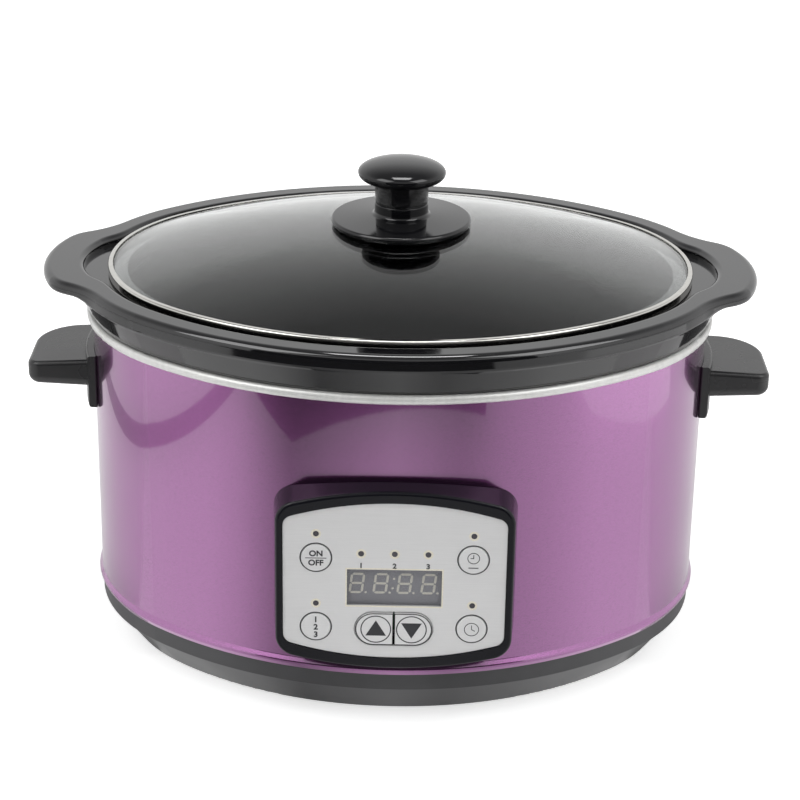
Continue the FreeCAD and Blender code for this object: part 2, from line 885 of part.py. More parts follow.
def make_handle():
    """Right-hand handle: a wing-shaped grip, hollow underneath, on a plate that hugs the shell."""
    root = half_width - handle_back_corner
    tip = half_width + handle_reach
    outline = rounded_wire([
        (vec(root, -handle_half_width, 0), 0),
        (vec(tip, -handle_half_width, 0), handle_front_corner),
        (vec(tip, handle_half_width, 0), handle_back_corner),
        (vec(root, handle_half_width, 0), 0),
    ])
    tall = Part.Face(outline).extrude(UP * handle_top * 2)
    tip_top = handle_top - handle_tip_drop
    side = rounded_wire([
        (vec(root, -half_depth, handle_top - handle_root_height), 0),
        (vec(tip, -half_depth, tip_top - handle_tip_height), 0),
        (vec(tip, -half_depth, tip_top), 0),
        (vec(root, -half_depth, handle_top), 0),
    ])
    slab = Part.Face(side).extrude(BACK * half_depth * 2)
    grip = tall.common(slab)
    middle = handle_top - handle_root_height / 2
    rim = [e for e in grip.Edges if is_grip_rim(e, root)]
    grip = grip.makeFillet(handle_top_round, [e for e in rim if e.BoundBox.ZMin > middle])
    rim = [e for e in grip.Edges if is_grip_rim(e, root)]
    grip = grip.makeFillet(handle_low_round, [e for e in rim if e.BoundBox.ZMax < middle])
    grip = grip.cut(oval_prism(plate_thickness / 2, 0, handle_top * 2))
    plate = handle_plate()
    handle = plate.fuse(grip).removeSplitter()
    pocket_start = half_width + plate_thickness + pocket_root
    pocket_end = tip - pocket_wall
    pocket_side = handle_half_width - 2 * pocket_wall
    pocket_turn = handle_back_corner - 2 * pocket_wall
    pocket = rounded_wire([
        (vec(pocket_start, -pocket_side, 0), pocket_corner),
        (vec(pocket_end, -pocket_side, 0), pocket_corner),
        (vec(pocket_end, pocket_side, 0), pocket_turn),
        (vec(pocket_start, pocket_side, 0), pocket_corner),
    ])
    hollow = Part.Face(pocket).extrude(UP * (handle_top - handle_tip_drop - pocket_wall))
    holes = [
        rod(handle_screw_radius + screw_clearance, start, start + outward * handle_screw_depth)
        for start, outward in handle_screw_lines()[:2]
    ]
    return handle.cut([hollow] + holes)


def is_grip_rim(edge, root):
    """True for an edge along the top or bottom of the grip's rounded outline."""
    upright_edge = edge.BoundBox.ZLength > handle_tip_height / 2
    return not upright_edge and edge.BoundBox.XMax > root + clearance


def handle_plate():
    """Plate against the shell, as wide as the grip and a margin, with a leg below it."""
    ring = oval_ring([
        (clearance / 2, plate_bottom, 0),
        (plate_thickness, plate_bottom, plate_round),
        (plate_thickness, plate_top, plate_round),
        (clearance / 2, plate_top, 0),
    ])
    reach = handle_half_width + plate_margin
    heights = (plate_bottom - cut_past, plate_top + cut_past)
    plate = ring.common(span_box((end_centre, 2 * half_width), (-reach, reach), heights))
    sides = [e for e in plate.Edges if e.BoundBox.ZLength > plate_height - cut_past]
    inner = [e for e in sides if e.BoundBox.XMax < half_width]
    return plate.makeChamfer(plate_bevel, inner)


def make_handle_screws():
    """Screws from inside the shell into the handles, two for each."""
    screws = []
    for start, outward in handle_screw_lines():
        inside = start - outward * (shell_wall + clearance)
        head_end = inside - outward * handle_screw_head
        tip = start + outward * (handle_screw_depth - clearance)
        head = rod(handle_screw_head_radius, head_end, inside)
        shank = rod(handle_screw_radius, head_end, tip)
        screws.append(head.fuse(shank).removeSplitter())
    return Part.makeCompound(screws)


def arched_wire(half, low, high, arch, corner, y):
    """Upright outline with straight sides, arched top and bottom and rounded corners."""
    arch_radius = (half ** 2 + arch ** 2) / (2 * arch)
    top_centre = high - arch_radius
    corner_rise = math.sqrt((arch_radius - corner) ** 2 - (half - corner) ** 2)
    middle = (low + high) / 2
    side_z = top_centre + corner_rise - middle
    lean = math.degrees(math.atan2(corner_rise, half - corner))
    leave = vec(0, 0, top_centre - middle) + upright(lean) * arch_radius
    bend = vec(half - corner, 0, side_z) + upright(lean / 2) * corner
    apex = vec(0, 0, high - middle)
    side = vec(half, 0, side_z)

    def at(point, sx, sz):
        return vec(point.x * sx, y, middle + point.z * sz)

    edges = [Part.LineSegment(at(side, 1, -1), at(side, 1, 1)).toShape()]
    edges.append(Part.Arc(at(side, 1, 1), at(bend, 1, 1), at(leave, 1, 1)).toShape())
    edges.append(Part.Arc(at(leave, 1, 1), at(apex, 1, 1), at(leave, -1, 1)).toShape())
    edges.append(Part.Arc(at(leave, -1, 1), at(bend, -1, 1), at(side, -1, 1)).toShape())
    edges.append(Part.LineSegment(at(side, -1, 1), at(side, -1, -1)).toShape())
    edges.append(Part.Arc(at(side, -1, -1), at(bend, -1, -1), at(leave, -1, -1)).toShape())
    edges.append(Part.Arc(at(leave, -1, -1), at(apex, 1, -1), at(leave, 1, -1)).toShape())
    edges.append(Part.Arc(at(leave, 1, -1), at(bend, 1, -1), at(side, 1, -1)).toShape())
    return Part.Wire(edges)


def upright(degrees):
    return vec(math.cos(math.radians(degrees)), 0, math.sin(math.radians(degrees)))


def face_wire(grow, y):
    """The faceplate's outline, grown evenly, at a plane along Y."""
    half = face_half_width + grow
    return arched_wire(half, face_low - grow, face_high + grow, face_arch, face_corner + grow, y)


def panel_screw_places():
    low = face_low + panel_screw_inset
    high = face_high - panel_screw_inset
    return [(x, z) for x in (-panel_screw_x, panel_screw_x) for z in (low, high)]


def board_post_places():
    low = board_low + board_post_inset
    high = board_high - board_post_inset
    return [(x, z) for x in (-board_post_x, board_post_x) for z in (low, high)]


def make_bezel():
    """Moulded panel housing: arched frame that meets the curved shell, ledge and screw bosses."""
    side = face_half_width + bezel_side
    low = face_low - bezel_top
    high = face_high + bezel_top
    shell_side = front_y(0, side) + bezel_draft
    front = arched_wire(side, low, high, face_arch, bezel_corner, panel_front)
    back = arched_wire(
        side + bezel_draft,
        low - bezel_draft,
        high + bezel_draft,
        face_arch,
        bezel_corner + bezel_draft,
        shell_side,
    )
    body = Part.makeLoft([front, back], True, True)
    front_edges = [e for e in body.Edges if e.BoundBox.YMax < panel_front + 1e-3]
    body = body.makeFillet(bezel_round, front_edges)
    seat = Part.Face(face_wire(clearance, panel_front)).extrude(BACK * (face_back - panel_front))
    through = Part.Face(face_wire(-bezel_ledge, panel_front)).extrude(BACK * half_depth)
    hollow_start = face_back + bezel_wall / 2
    hollow = Part.Face(face_wire(bezel_side - bezel_wall, hollow_start)).extrude(BACK * half_depth)
    frame = body.cut([seat, through, hollow])
    bosses = []
    for x, z in panel_screw_places():
        bosses.append(rod(panel_boss_radius, vec(x, face_back, z), vec(x, shell_side, z)))
    for x, z in board_post_places():
        bosses.append(rod(board_post_radius, vec(x, face_back, z), vec(x, board_front, z)))
    frame = frame.fuse(bosses).removeSplitter()
    cuts = [oval_prism(clearance / 2, 0, 2 * face_high)]
    hole_start = face_back + screw_blind
    for x, z in panel_screw_places():
        cuts.append(rod(panel_screw_radius + screw_clearance, vec(x, hole_start, z), vec(x, 0, z)))
    for x, z in board_post_places():
        cuts.append(rod(board_screw_radius + screw_clearance, vec(x, hole_start, z), vec(x, 0, z)))
    return frame.cut(cuts)


def make_panel_screws():
    """Screws from inside the shell into the bezel's bosses."""
    screws = []
    for x, z in panel_screw_places():
        seat = front_y(-shell_wall, abs(x) + panel_screw_head_radius) + clearance
        head = rod(panel_screw_head_radius, vec(x, seat, z), vec(x, seat + panel_screw_head, z))
        tip = vec(x, face_back + screw_blind + clearance, z)
        shank = rod(panel_screw_radius, tip, vec(x, seat + panel_screw_head, z))
        screws.append(head.fuse(shank).removeSplitter())
    return Part.makeCompound(screws)


def make_board_screws():
    screws = []
    for x, z in board_post_places():
        tip = vec(x, face_back + screw_blind + clearance, z)
        end = vec(x, board_back + panel_screw_head, z)
        head = rod(board_screw_head_radius, vec(x, board_back, z), end)
        shank = rod(board_screw_radius, tip, end)
        screws.append(head.fuse(shank).removeSplitter())
    return Part.makeCompound(screws)


def round_button_places():
    return {
        "button_on_off": (-button_x, button_upper_z),
        "button_mode": (-button_x, button_lower_z),
        "button_delay": (button_x, button_upper_z),
        "button_time": (button_x, button_lower_z),
    }


def lamp_places():
    places = [(x, z + lamp_rise) for x, z in round_button_places().values()]
    return places + [(index * lamp_row_pitch, lamp_row_z) for index in (-1, 0, 1)]


def arrow_key(side, grow, y, depth):
    """Half of a stadium, left or right of the centre gap, grown evenly."""
    radius = arrow_half_height + grow
    middle = arrow_half_length - arrow_half_height
    gap = arrow_gap / 2 - grow
    low_inner = vec(side * gap, y, arrow_z - radius)
    low_outer = vec(side * middle, y, arrow_z - radius)
    tip = vec(side * (middle + radius), y, arrow_z)
    high_outer = vec(side * middle, y, arrow_z + radius)
    high_inner = vec(side * gap, y, arrow_z + radius)
    edges = [
        Part.LineSegment(low_inner, low_outer).toShape(),
        Part.Arc(low_outer, tip, high_outer).toShape(),
        Part.LineSegment(high_outer, high_inner).toShape(),
        Part.LineSegment(high_inner, low_inner).toShape(),
    ]
    return Part.Face(Part.Wire(edges)).extrude(BACK * depth)


def make_faceplate():
    """Brushed front plate with holes for the buttons, the lamps and the display window."""
    plate = Part.Face(face_wire(0, face_front)).extrude(BACK * face_thickness)
    cuts = []
    for x, z in round_button_places().values():
        cuts.append(rod(button_radius + clearance, vec(x, panel_front, z), vec(x, 0, z)))
    for x, z in lamp_places():
        cuts.append(rod(lamp_radius + screw_clearance, vec(x, panel_front, z), vec(x, 0, z)))
    cuts.append(arrow_key(1, arrow_gap / 2 + clearance, panel_front, half_depth))
    cuts.append(arrow_key(-1, arrow_gap / 2 + clearance, panel_front, half_depth))
    cuts.append(span_box(
        (-window_half_width - screw_clearance, window_half_width + screw_clearance),
        (panel_front, 0),
        (window_low - screw_clearance, window_high + screw_clearance),
    ))
    return plate.cut(cuts)


def make_display_window():
    """Tinted window flush in the faceplate, with a flange behind it."""
    window = span_box(
        (-window_half_width, window_half_width), (face_front, face_back), (window_low, window_high)
    )
    flange = span_box(
        (-window_half_width - window_flange, window_half_width + window_flange),
        (face_back, face_back + window_flange_thickness),
        (window_low - window_flange, window_high + window_flange),
    )
    return window.fuse(flange).removeSplitter()


def make_display_module():
    """Four-digit display block, soldered to the control board behind the window."""
    return span_box(
        (-window_half_width, window_half_width),
        (board_front - display_depth, board_front),
        (window_low + display_inset, window_high - display_inset),
    )


def make_control_board():
    board = span_box(
        (-board_half_width, board_half_width), (board_front, board_back), (board_low, board_high)
    )
    holes = [
        rod(board_screw_radius + screw_clearance, vec(x, board_front, z), vec(x, board_back, z))
        for x, z in board_post_places()
    ]
    return board.cut(holes)


def make_lamps():
    """Small lamps that stand on the control board and fill their holes in the faceplate."""
    lamps = []
    for x, z in lamp_places():
        tip = vec(x, face_front - lamp_proud, z)
        lamps.append(rod(lamp_radius, tip, vec(x, board_front, z)))
    return Part.makeCompound(lamps)


def switch_places():
    arrow_x = (arrow_half_length + arrow_gap / 2) / 2
    return list(round_button_places().values()) + [(-arrow_x, arrow_z), (arrow_x, arrow_z)]


def make_switches():
    """One push switch on the control board behind each button."""
    switches = []
    for x, z in switch_places():
        half = switch_size / 2
        body = span_box((x - half, x + half), (board_front - switch_body, board_front), (z - half, z + half))
        front = board_front - switch_body
        plunger = rod(switch_plunger_radius, vec(x, front - switch_plunger, z), vec(x, front, z))
        switches.append(body.fuse(plunger).removeSplitter())
    return Part.makeCompound(switches)


def stem_end():
    """Y where a button's stem ends, its travel and a clearance in front of the switch."""
    return board_front - switch_body - switch_plunger - button_travel - switch_gap


def make_round_button(x, z):
    """Button cap with a retaining flange behind the faceplate and a stem towards its switch."""
    front = face_front - button_proud
    flange_front = face_back + clearance
    flange_back = flange_front + button_flange_thickness
    cap = rod(button_radius, vec(x, front, z), vec(x, flange_back, z))
    rim = [e for e in cap.Edges if e.BoundBox.YMax < front + 1e-3]
    cap = cap.makeFillet(button_edge_round, rim)
    flange = rod(button_radius + button_flange, vec(x, flange_front, z), vec(x, flange_back, z))
    stem = rod(button_stem_radius, vec(x, flange_back, z), vec(x, stem_end(), z))
    return cap.fuse([flange, stem]).removeSplitter()


def make_arrow_button(side):
    """Half of the rocker-shaped pair: a key with a flange along its curved side and a stem."""
    front = face_front - button_proud
    flange_front = face_back + clearance
    flange_back = flange_front + button_flange_thickness
    cap = arrow_key(side, 0, front, flange_back - front)
    rim = [e for e in cap.Edges if e.BoundBox.YMax < front + 1e-3]
    cap = cap.makeFillet(button_edge_round, rim)
    keep = span_box(
        sorted((side * arrow_gap / 2, side * 2 * arrow_half_length)),
        (flange_front, flange_back),
        (arrow_z - 2 * arrow_half_height, arrow_z + 2 * arrow_half_height),
    )
    flange = arrow_key(side, button_flange, flange_front, button_flange_thickness).common(keep)
    x = side * (arrow_half_length + arrow_gap / 2) / 2
    stem = rod(button_stem_radius, vec(x, flange_back, arrow_z), vec(x, stem_end(), arrow_z))
    return cap.fuse([flange, stem]).removeSplitter()


def make_power_board():
    size = vec(power_board_length, power_board_width, board_thickness)
    return block(size, 0, power_board_y, power_board_z)


def make_relay():
    return block(vec(relay_length, relay_width, relay_height), relay_x, relay_y, power_board_top)


def make_transformer():
    size = vec(transformer_length, transformer_width, transformer_height)
    return block(size, transformer_x, transformer_y, power_board_top)


def make_terminal_block():
    size = vec(terminal_length, terminal_width, terminal_height)
    return block(size, terminal_x, terminal_y, power_board_top)


def make_capacitor():
    return turned([
        (0, power_board_top, 0),
        (capacitor_radius, power_board_top, edge_round),
        (capacitor_radius, power_board_top + capacitor_height, edge_round),
        (0, power_board_top + capacitor_height, 0),
    ], capacitor_x, capacitor_y)


def make_sensor():
    """Temperature sensor in a cup on the shield, pressed to the liner's floor."""
    return turned([
        (0, shield_z + sheet, 0),
        (sensor_radius + sensor_flange, shield_z + sheet, 0),
        (sensor_radius + sensor_flange, shield_z + 2 * sheet, 0),
        (sensor_radius, shield_z + 2 * sheet, 0),
        (sensor_radius - sensor_taper, liner_bottom, 0),
        (0, liner_bottom, 0),
    ])


def make_thermal_fuse():
    """Thermal fuse on the shield, under a saddle clip."""
    z = shield_z + sheet + fuse_radius + clearance
    return rod(fuse_radius, vec(fuse_x - fuse_length / 2, 0, z), vec(fuse_x + fuse_length / 2, 0, z))


def make_fuse_clip():
    """Bent strip over the fuse, with a flat foot on each side."""
    low = shield_z + sheet
    inner = fuse_radius + clearance
    outer = inner + sheet
    top = low + 2 * fuse_radius + 2 * clearance
    foot = outer + fuse_clip_foot
    profile = [
        (-foot, low, 0),
        (-inner, low, 0),
        (-inner, top, edge_round),
        (inner, top, edge_round),
        (inner, low, 0),
        (foot, low, 0),
        (foot, low + sheet, 0),
        (outer, low + sheet, 0),
        (outer, top + sheet, edge_round + sheet),
        (-outer, top + sheet, edge_round + sheet),
        (-outer, low + sheet, 0),
        (-foot, low + sheet, 0),
    ]
    start = fuse_x - fuse_clip_width / 2
    strip = rounded_wire([(vec(start, y, z), rounding) for y, z, rounding in profile])
    return Part.Face(strip).extrude(vec(fuse_clip_width, 0, 0))


def make_gland():
    """Bushing for the mains lead in the back of the shell, with its flange outside."""
    outside = vec(0, half_depth + clearance / 2 + gland_flange, gland_z)
    face = vec(0, half_depth + clearance / 2, gland_z)
    inside = vec(0, half_depth - gland_body, gland_z)
    flange = rod(gland_flange_radius, face, outside)
    rim = [e for e in flange.Edges if e.BoundBox.YMin > outside.y - 1e-3]
    flange = flange.makeFillet(gland_round, rim)
    body = rod(gland_body_radius, inside, face)
    bore = rod(gland_bore_radius, inside - BACK, outside + BACK)
    return flange.fuse(body).removeSplitter().cut(bore)


def make_gland_nut():
    """Ring that locks the bushing from inside the shell."""
    start = vec(0, half_depth - shell_wall - clearance - gland_nut, gland_z)
    end = start + BACK * gland_nut
    return rod(gland_nut_radius, start, end).cut(rod(gland_body_radius + screw_clearance, start, end))


def lead_path(points, radius):
    """Wire of straight runs joined by tangent arcs of one radius."""
    edges = []
    last = points[0]
    for before, corner, after in zip(points, points[1:], points[2:]):
        back_way = (before - corner).normalize()
        on_way = (after - corner).normalize()
        half = back_way.getAngle(on_way) / 2
        reach = radius / math.tan(half)
        start = corner + back_way * reach
        end = corner + on_way * reach
        middle = corner + (back_way + on_way).normalize() * (radius / math.sin(half) - radius)
        edges.append(Part.LineSegment(last, start).toShape())
        edges.append(Part.Arc(start, middle, end).toShape())
        last = end
    edges.append(Part.LineSegment(last, points[-1]).toShape())
    return Part.Wire(edges)


def make_heater_leads():
    """Two insulated leads from the ends of the heater band down to the terminal block."""
    leads = []
    band_y = half_depth + liner_outer + clearance + heater_thickness / 2 + lead_standoff
    terminal_top = power_board_top + terminal_height
    for side in (-1, 1):
        x = side * lead_half_spacing
        end_x = terminal_x + side * terminal_length / 4
        points = [
            vec(x, band_y, heater_low),
            vec(x, band_y, terminal_top + lead_rise),
            vec(end_x, terminal_y, terminal_top + lead_rise),
            vec(end_x, terminal_y, terminal_top),
        ]
        path = lead_path(points, lead_bend)
        section = Part.Wire(Part.makeCircle(lead_radius, points[0], UP))
        leads.append(path.makePipeShell([section], True, False))
    return Part.makeCompound(leads)


def make_ribbon():
    """Flat ribbon cable from the control board down to the power board."""
    rise = board_low + ribbon_start
    drop_y = front_y(liner_outer, ribbon_half_width) - ribbon_gap
    level = power_board_top + ribbon_level
    board_edge = power_board_y - power_board_width / 2 + ribbon_inset
    t = ribbon_thickness
    x = -ribbon_half_width
    strip = rounded_wire([
        (vec(x, board_back, rise), 0),
        (vec(x, drop_y + t, rise), ribbon_tight_bend + t),
        (vec(x, drop_y + t, level), ribbon_bend),
        (vec(x, board_edge + t, level), ribbon_tight_bend + t),
        (vec(x, board_edge + t, power_board_top), 0),
        (vec(x, board_edge, power_board_top), 0),
        (vec(x, board_edge, level - t), ribbon_tight_bend),
        (vec(x, drop_y, level - t), ribbon_bend + t),
        (vec(x, drop_y, rise - t), ribbon_tight_bend),
        (vec(x, board_back, rise - t), 0),
    ])
    return Part.Face(strip).extrude(vec(2 * ribbon_half_width, 0, 0))


def build():
    os.makedirs("parts", exist_ok=True)
    save("base", make_base())
    corners = ("rear_right", "rear_left", "front_left", "front_right")
    for corner, (x, y) in zip(corners, four_places(foot_x, foot_y)):
        save("foot_" + corner, make_foot(x, y))
    for corner, (x, y) in zip(corners, four_places(post_x, post_y)):
        save("tie_post_" + corner, make_tie_post(x, y))
    save("base_screws", make_base_screws())
    save("heat_shield", make_heat_shield())
    save("outer_shell", make_shell())
    save("heating_liner", make_liner())
    save("heater_band", make_heater_band())
    save("heater_strap", make_heater_strap())
    save("strap_screw", make_strap_screw())
    save("crock", make_crock())
    save("lid_glass", make_lid_glass())
    save("lid_rim", make_lid_rim())
    save("knob_gasket", make_knob_gasket())
    save("knob_skirt", make_knob_skirt())
    save("lid_knob", make_knob())
    save("knob_washer", make_knob_washer())
    save("knob_screw", make_knob_screw())
    right = make_handle()
    save("handle_right", right)
    save("handle_left", mirrored_x(right))
    save("handle_screws", make_handle_screws())
    save("panel_bezel", make_bezel())
    save("panel_screws", make_panel_screws())
    save("panel_faceplate", make_faceplate())
    save("display_window", make_display_window())
    save("display_module", make_display_module())
    save("indicator_lamps", make_lamps())
    save("control_board", make_control_board())
    save("board_screws", make_board_screws())
    save("push_switches", make_switches())
    for name, (x, z) in round_button_places().items():
        save(name, make_round_button(x, z))
    save("button_up", make_arrow_button(-1))
    save("button_down", make_arrow_button(1))
    save("power_board", make_power_board())
    save("power_relay", make_relay())
    save("transformer", make_transformer())
    save("filter_capacitor", make_capacitor())
    save("terminal_block", make_terminal_block())
    save("temperature_sensor", make_sensor())
    save("thermal_fuse", make_thermal_fuse())
    save("fuse_clip", make_fuse_clip())
    save("cord_gland", make_gland())
    save("gland_nut", make_gland_nut())
    save("heater_leads", make_heater_leads())
    save("ribbon_cable", make_ribbon())


build()
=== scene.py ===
"""Looks of the oval slow cooker: finishes, printed panel marks, display digits, studio and camera.

Metres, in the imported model's frame: +X to the right-hand handle, -Y to the control panel, +Z up.
"""
import json
import math

import bmesh
import bpy
from mathutils import Matrix, Vector


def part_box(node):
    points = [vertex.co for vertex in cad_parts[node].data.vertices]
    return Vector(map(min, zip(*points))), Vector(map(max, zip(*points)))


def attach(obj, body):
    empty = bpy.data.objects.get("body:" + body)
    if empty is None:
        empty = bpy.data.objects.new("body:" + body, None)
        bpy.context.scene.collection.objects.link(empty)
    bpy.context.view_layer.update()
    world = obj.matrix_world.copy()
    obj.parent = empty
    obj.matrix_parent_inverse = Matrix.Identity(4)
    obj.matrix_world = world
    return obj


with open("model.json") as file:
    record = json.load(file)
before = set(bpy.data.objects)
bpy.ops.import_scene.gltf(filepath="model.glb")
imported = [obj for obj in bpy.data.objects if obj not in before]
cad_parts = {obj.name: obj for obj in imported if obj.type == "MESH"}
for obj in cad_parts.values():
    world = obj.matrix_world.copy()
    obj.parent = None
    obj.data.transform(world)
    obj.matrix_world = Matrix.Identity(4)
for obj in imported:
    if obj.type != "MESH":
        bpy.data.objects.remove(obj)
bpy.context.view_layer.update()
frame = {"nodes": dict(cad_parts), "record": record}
nodes = frame["nodes"]
MM = 0.001

# Camera, fitted to the photograph's 800 x 800 frame
CAMERA_AZIMUTH = 0.14
CAMERA_ELEVATION = 23.17
CAMERA_ROLL = 0.97
CAMERA_DISTANCE = 1319.6 * MM
CAMERA_TARGET_RIGHT = 1.0 * MM
CAMERA_TARGET_HEIGHT = 137.4 * MM
FOCAL_PIXELS = 2276.4
IMAGE_PIXELS = 800
SENSOR_WIDTH = 36.0

# Printed marks lie on the faces they belong to
PRINT_THICKNESS = 0.05 * MM
PRINT_LIFT = 0.01 * MM
ROUND_STEPS = 48

# Flanges behind the faceplate, which the nodes' boxes take in, and the gap round a button
BUTTON_FLANGE = 1.0 * MM
WINDOW_FLANGE = 1.5 * MM
BUTTON_CLEARANCE = 0.3 * MM

# Rings, lines and lettering on the faceplate and the buttons
BUTTON_RING_WIDTH = 0.55 * MM
LAMP_RING_GAP = 0.12 * MM
LAMP_RING_WIDTH = 1.1 * MM
LAMP_ROW_REACH = 30.0 * MM
WINDOW_LINE = 0.85 * MM
STROKE_GAIN = 0.16 * MM
CAPITAL_SHARE = 0.7
LETTER_CURVE_STEPS = 6
LABEL_HEIGHT = 2.9 * MM
LABEL_DROP = 7.0 * MM
BUTTON_TEXT_HEIGHT = 3.2 * MM
BUTTON_WORD_RISE = 2.7 * MM
BUTTON_ROW_PITCH = 4.5 * MM
DIVIDER_LENGTH = 11.2 * MM
DIVIDER_WIDTH = 0.4 * MM

# Clock signs: the hands as shares of the ring, and the line under the delay button's clock
CLOCK_LINE = 0.42 * MM
LONG_HAND = 0.62
SHORT_HAND = 0.5
TIME_CLOCK_RADIUS = 4.0 * MM
TIME_HOUR_TURN = math.radians(120.0)
DELAY_CLOCK_RADIUS = 3.3 * MM
DELAY_CLOCK_RISE = 1.3 * MM
DELAY_HOUR_TURN = math.radians(-90.0)
DELAY_LINE_LENGTH = 5.2 * MM
DELAY_LINE_WIDTH = 0.5 * MM
DELAY_LINE_DROP = 4.35 * MM

# Arrow keys
ARROW_RING_RADIUS = 8.2 * MM
ARROW_RING_WIDTH = 0.6 * MM
ARROW_RING_OFFSET = 0.9 * MM
ARROW_BASE = 11.0 * MM
ARROW_HEIGHT = 9.2 * MM
ARROW_BASE_SHARE = 0.42
ARROW_OUTLINE_WIDTH = 0.6 * MM

# Seven-segment display
DIGIT_COUNT = 4
DIGIT_PITCH = 12.7 * MM
DIGIT_WIDTH = 6.4 * MM
DIGIT_HEIGHT = 10.9 * MM
DIGIT_RISE = 1.3 * MM
DIGIT_SHIFT = -0.8 * MM
DIGIT_SLANT = math.tan(math.radians(7.0))
SEGMENT_WIDTH = 1.25 * MM
SEGMENT_GAP = 0.25 * MM
POINT_RADIUS = 0.65 * MM
POINT_GAP = 1.5 * MM
COLON_SHIFT = -0.5 * MM
COLON_SHARE = 0.26
TAPE_OVERLAP = 1.0 * MM

# Studio: light of the surroundings, the dim ceiling that reflections show, and the floor with its glow
WORLD_LIGHT = 0.42
CEILING_LEVEL = 0.3
CEILING_START = math.sin(math.radians(28.0))
CEILING_END = math.sin(math.radians(58.0))
FLOOR_REACH = 3.0
FLOOR_GREY = 0.86
FLOOR_GLOW = 0.62
FLOOR_MIRRORED_SHARE = 0.1
MATT = 0.9

# Soft boxes, in metres and watts
LIGHT_AIM = (0.0, 0.0, 0.14)
SIDE_BOX_REACH = 1.25
SIDE_BOX_FRONT = -0.8
SIDE_BOX_HEIGHT = 1.8
SIDE_BOX_SIZE = 1.2
LEFT_BOX_POWER = 15.0
RIGHT_BOX_POWER = 14.0
TOP_BOX_PLACE = (0.0, 0.05, 1.5)
TOP_BOX_WIDTH = 0.5
TOP_BOX_DEPTH = 0.35
TOP_BOX_POWER = 5.0

# Cards that only reflections show, in metres, with the table just under the others
CARD_LIFT = 1.0 * MM
TABLE_LIFT = CARD_LIFT / 2

# Unlit room in front of the table: its edges, its wall and the bend of its near edge on the right
ROOM_GREY = 0.03
ROOM_LEFT = -1.0
ROOM_LEFT_NEAR = -0.75
ROOM_RIGHT = 0.9
ROOM_RIGHT_NEAR = -0.95
ROOM_RIGHT_BEND = (0.34, -0.66)
ROOM_FAR = -1.1
ROOM_WALL_HEIGHT = 0.75

# Lit table: its left front corner, the round pool of light that ends it, and its levels by degrees from ahead
TABLE_CORNER = (-0.46, -0.435)
TABLE_HALF_WIDTH = 0.9
TABLE_NEAR = -0.06
TABLE_FAR = -0.9
POOL_X = 0.03
POOL_Y = -0.2
POOL_RADIUS = 0.373
POOL_START = math.radians(219.0)
POOL_TURN = math.radians(86.0)
POOL_STEPS = 16
TABLE_FOCUS = (-0.04, 0.0, 0.0)
TABLE_LEVELS = (
    (-60.0, 1.0), (-50.0, 0.85), (-34.0, 0.35), (0.0, 0.75), (20.0, 0.5), (50.0, 0.8), (65.0, 1.0),
)

# Gap at the table's left edge, white sweep behind the part and brighter sheet on its right
GAP_GREY = 0.25
GAP_LOW = (-0.49, -0.42)
GAP_HIGH = (-0.448, 0.3)
SWEEP_START = 0.45
SWEEP_LEVEL = 1.0
SHEET_OUTLINE = ((0.475, -0.285), (0.51, -0.4), (0.9, -0.4), (0.9, 0.1), (0.54, 0.05))
SHEET_LEVEL = 1.3


# Materials

def new_material(name, **values):
    """Material with one Principled shader, its plain values set on the shader's own sockets."""
    material = bpy.data.materials.new(name)
    material.use_nodes = True
    shader = material.node_tree.nodes["Principled BSDF"]
    for key, value in values.items():
        socket = shader.inputs[key.replace("_", " ")]
        socket.default_value = (*value, 1.0) if isinstance(value, tuple) else value
    return material, material.node_tree, shader


def add(tree, kind, **values):
    """Add a node and set its properties or its input sockets."""
    node = tree.nodes.new(kind)
    for key, value in values.items():
        if hasattr(node, key):
            setattr(node, key, value)
        else:
            node.inputs[key.replace("_", " ")].default_value = value
    return node


def object_coordinates(tree, stretch=(1.0, 1.0, 1.0)):
    """The part's own coordinates in metres, stretched along its axes."""
    coordinates = add(tree, "ShaderNodeTexCoord")
    mapping = add(tree, "ShaderNodeMapping", Scale=stretch)
    tree.links.new(coordinates.outputs["Object"], mapping.inputs["Vector"])
    return mapping.outputs["Vector"]


def noise(tree, vector, scale, detail=2.0, roughness=0.5):
    """Noise of a given scale, in cells per metre of the stretched coordinates."""
    node = add(tree, "ShaderNodeTexNoise", Scale=scale, Detail=detail, Roughness=roughness)
    tree.links.new(vector, node.inputs["Vector"])
    return node.outputs["Fac"]


def ramp(tree, factor, low, high, start=0.3, end=0.7):
    """Blend of two colours or greys, driven by a factor."""
    node = add(tree, "ShaderNodeValToRGB")
    for element, position, value in zip(node.color_ramp.elements, (start, end), (low, high)):
        element.position = position
        element.color = (*value, 1.0) if isinstance(value, tuple) else (value, value, value, 1.0)
    tree.links.new(factor, node.inputs["Fac"])
    return node.outputs["Color"]


def bump(tree, shader, height, strength, distance):
    """Surface relief from a height, distance metres deep for each unit of it."""
    node = add(tree, "ShaderNodeBump", Strength=strength, Distance=distance)
    tree.links.new(height, node.inputs["Height"])
    tree.links.new(node.outputs["Normal"], shader.inputs["Normal"])


def shade(colour, share):
    """A colour made lighter or darker by a share."""
    return tuple(min(1.0, c * share) for c in colour)


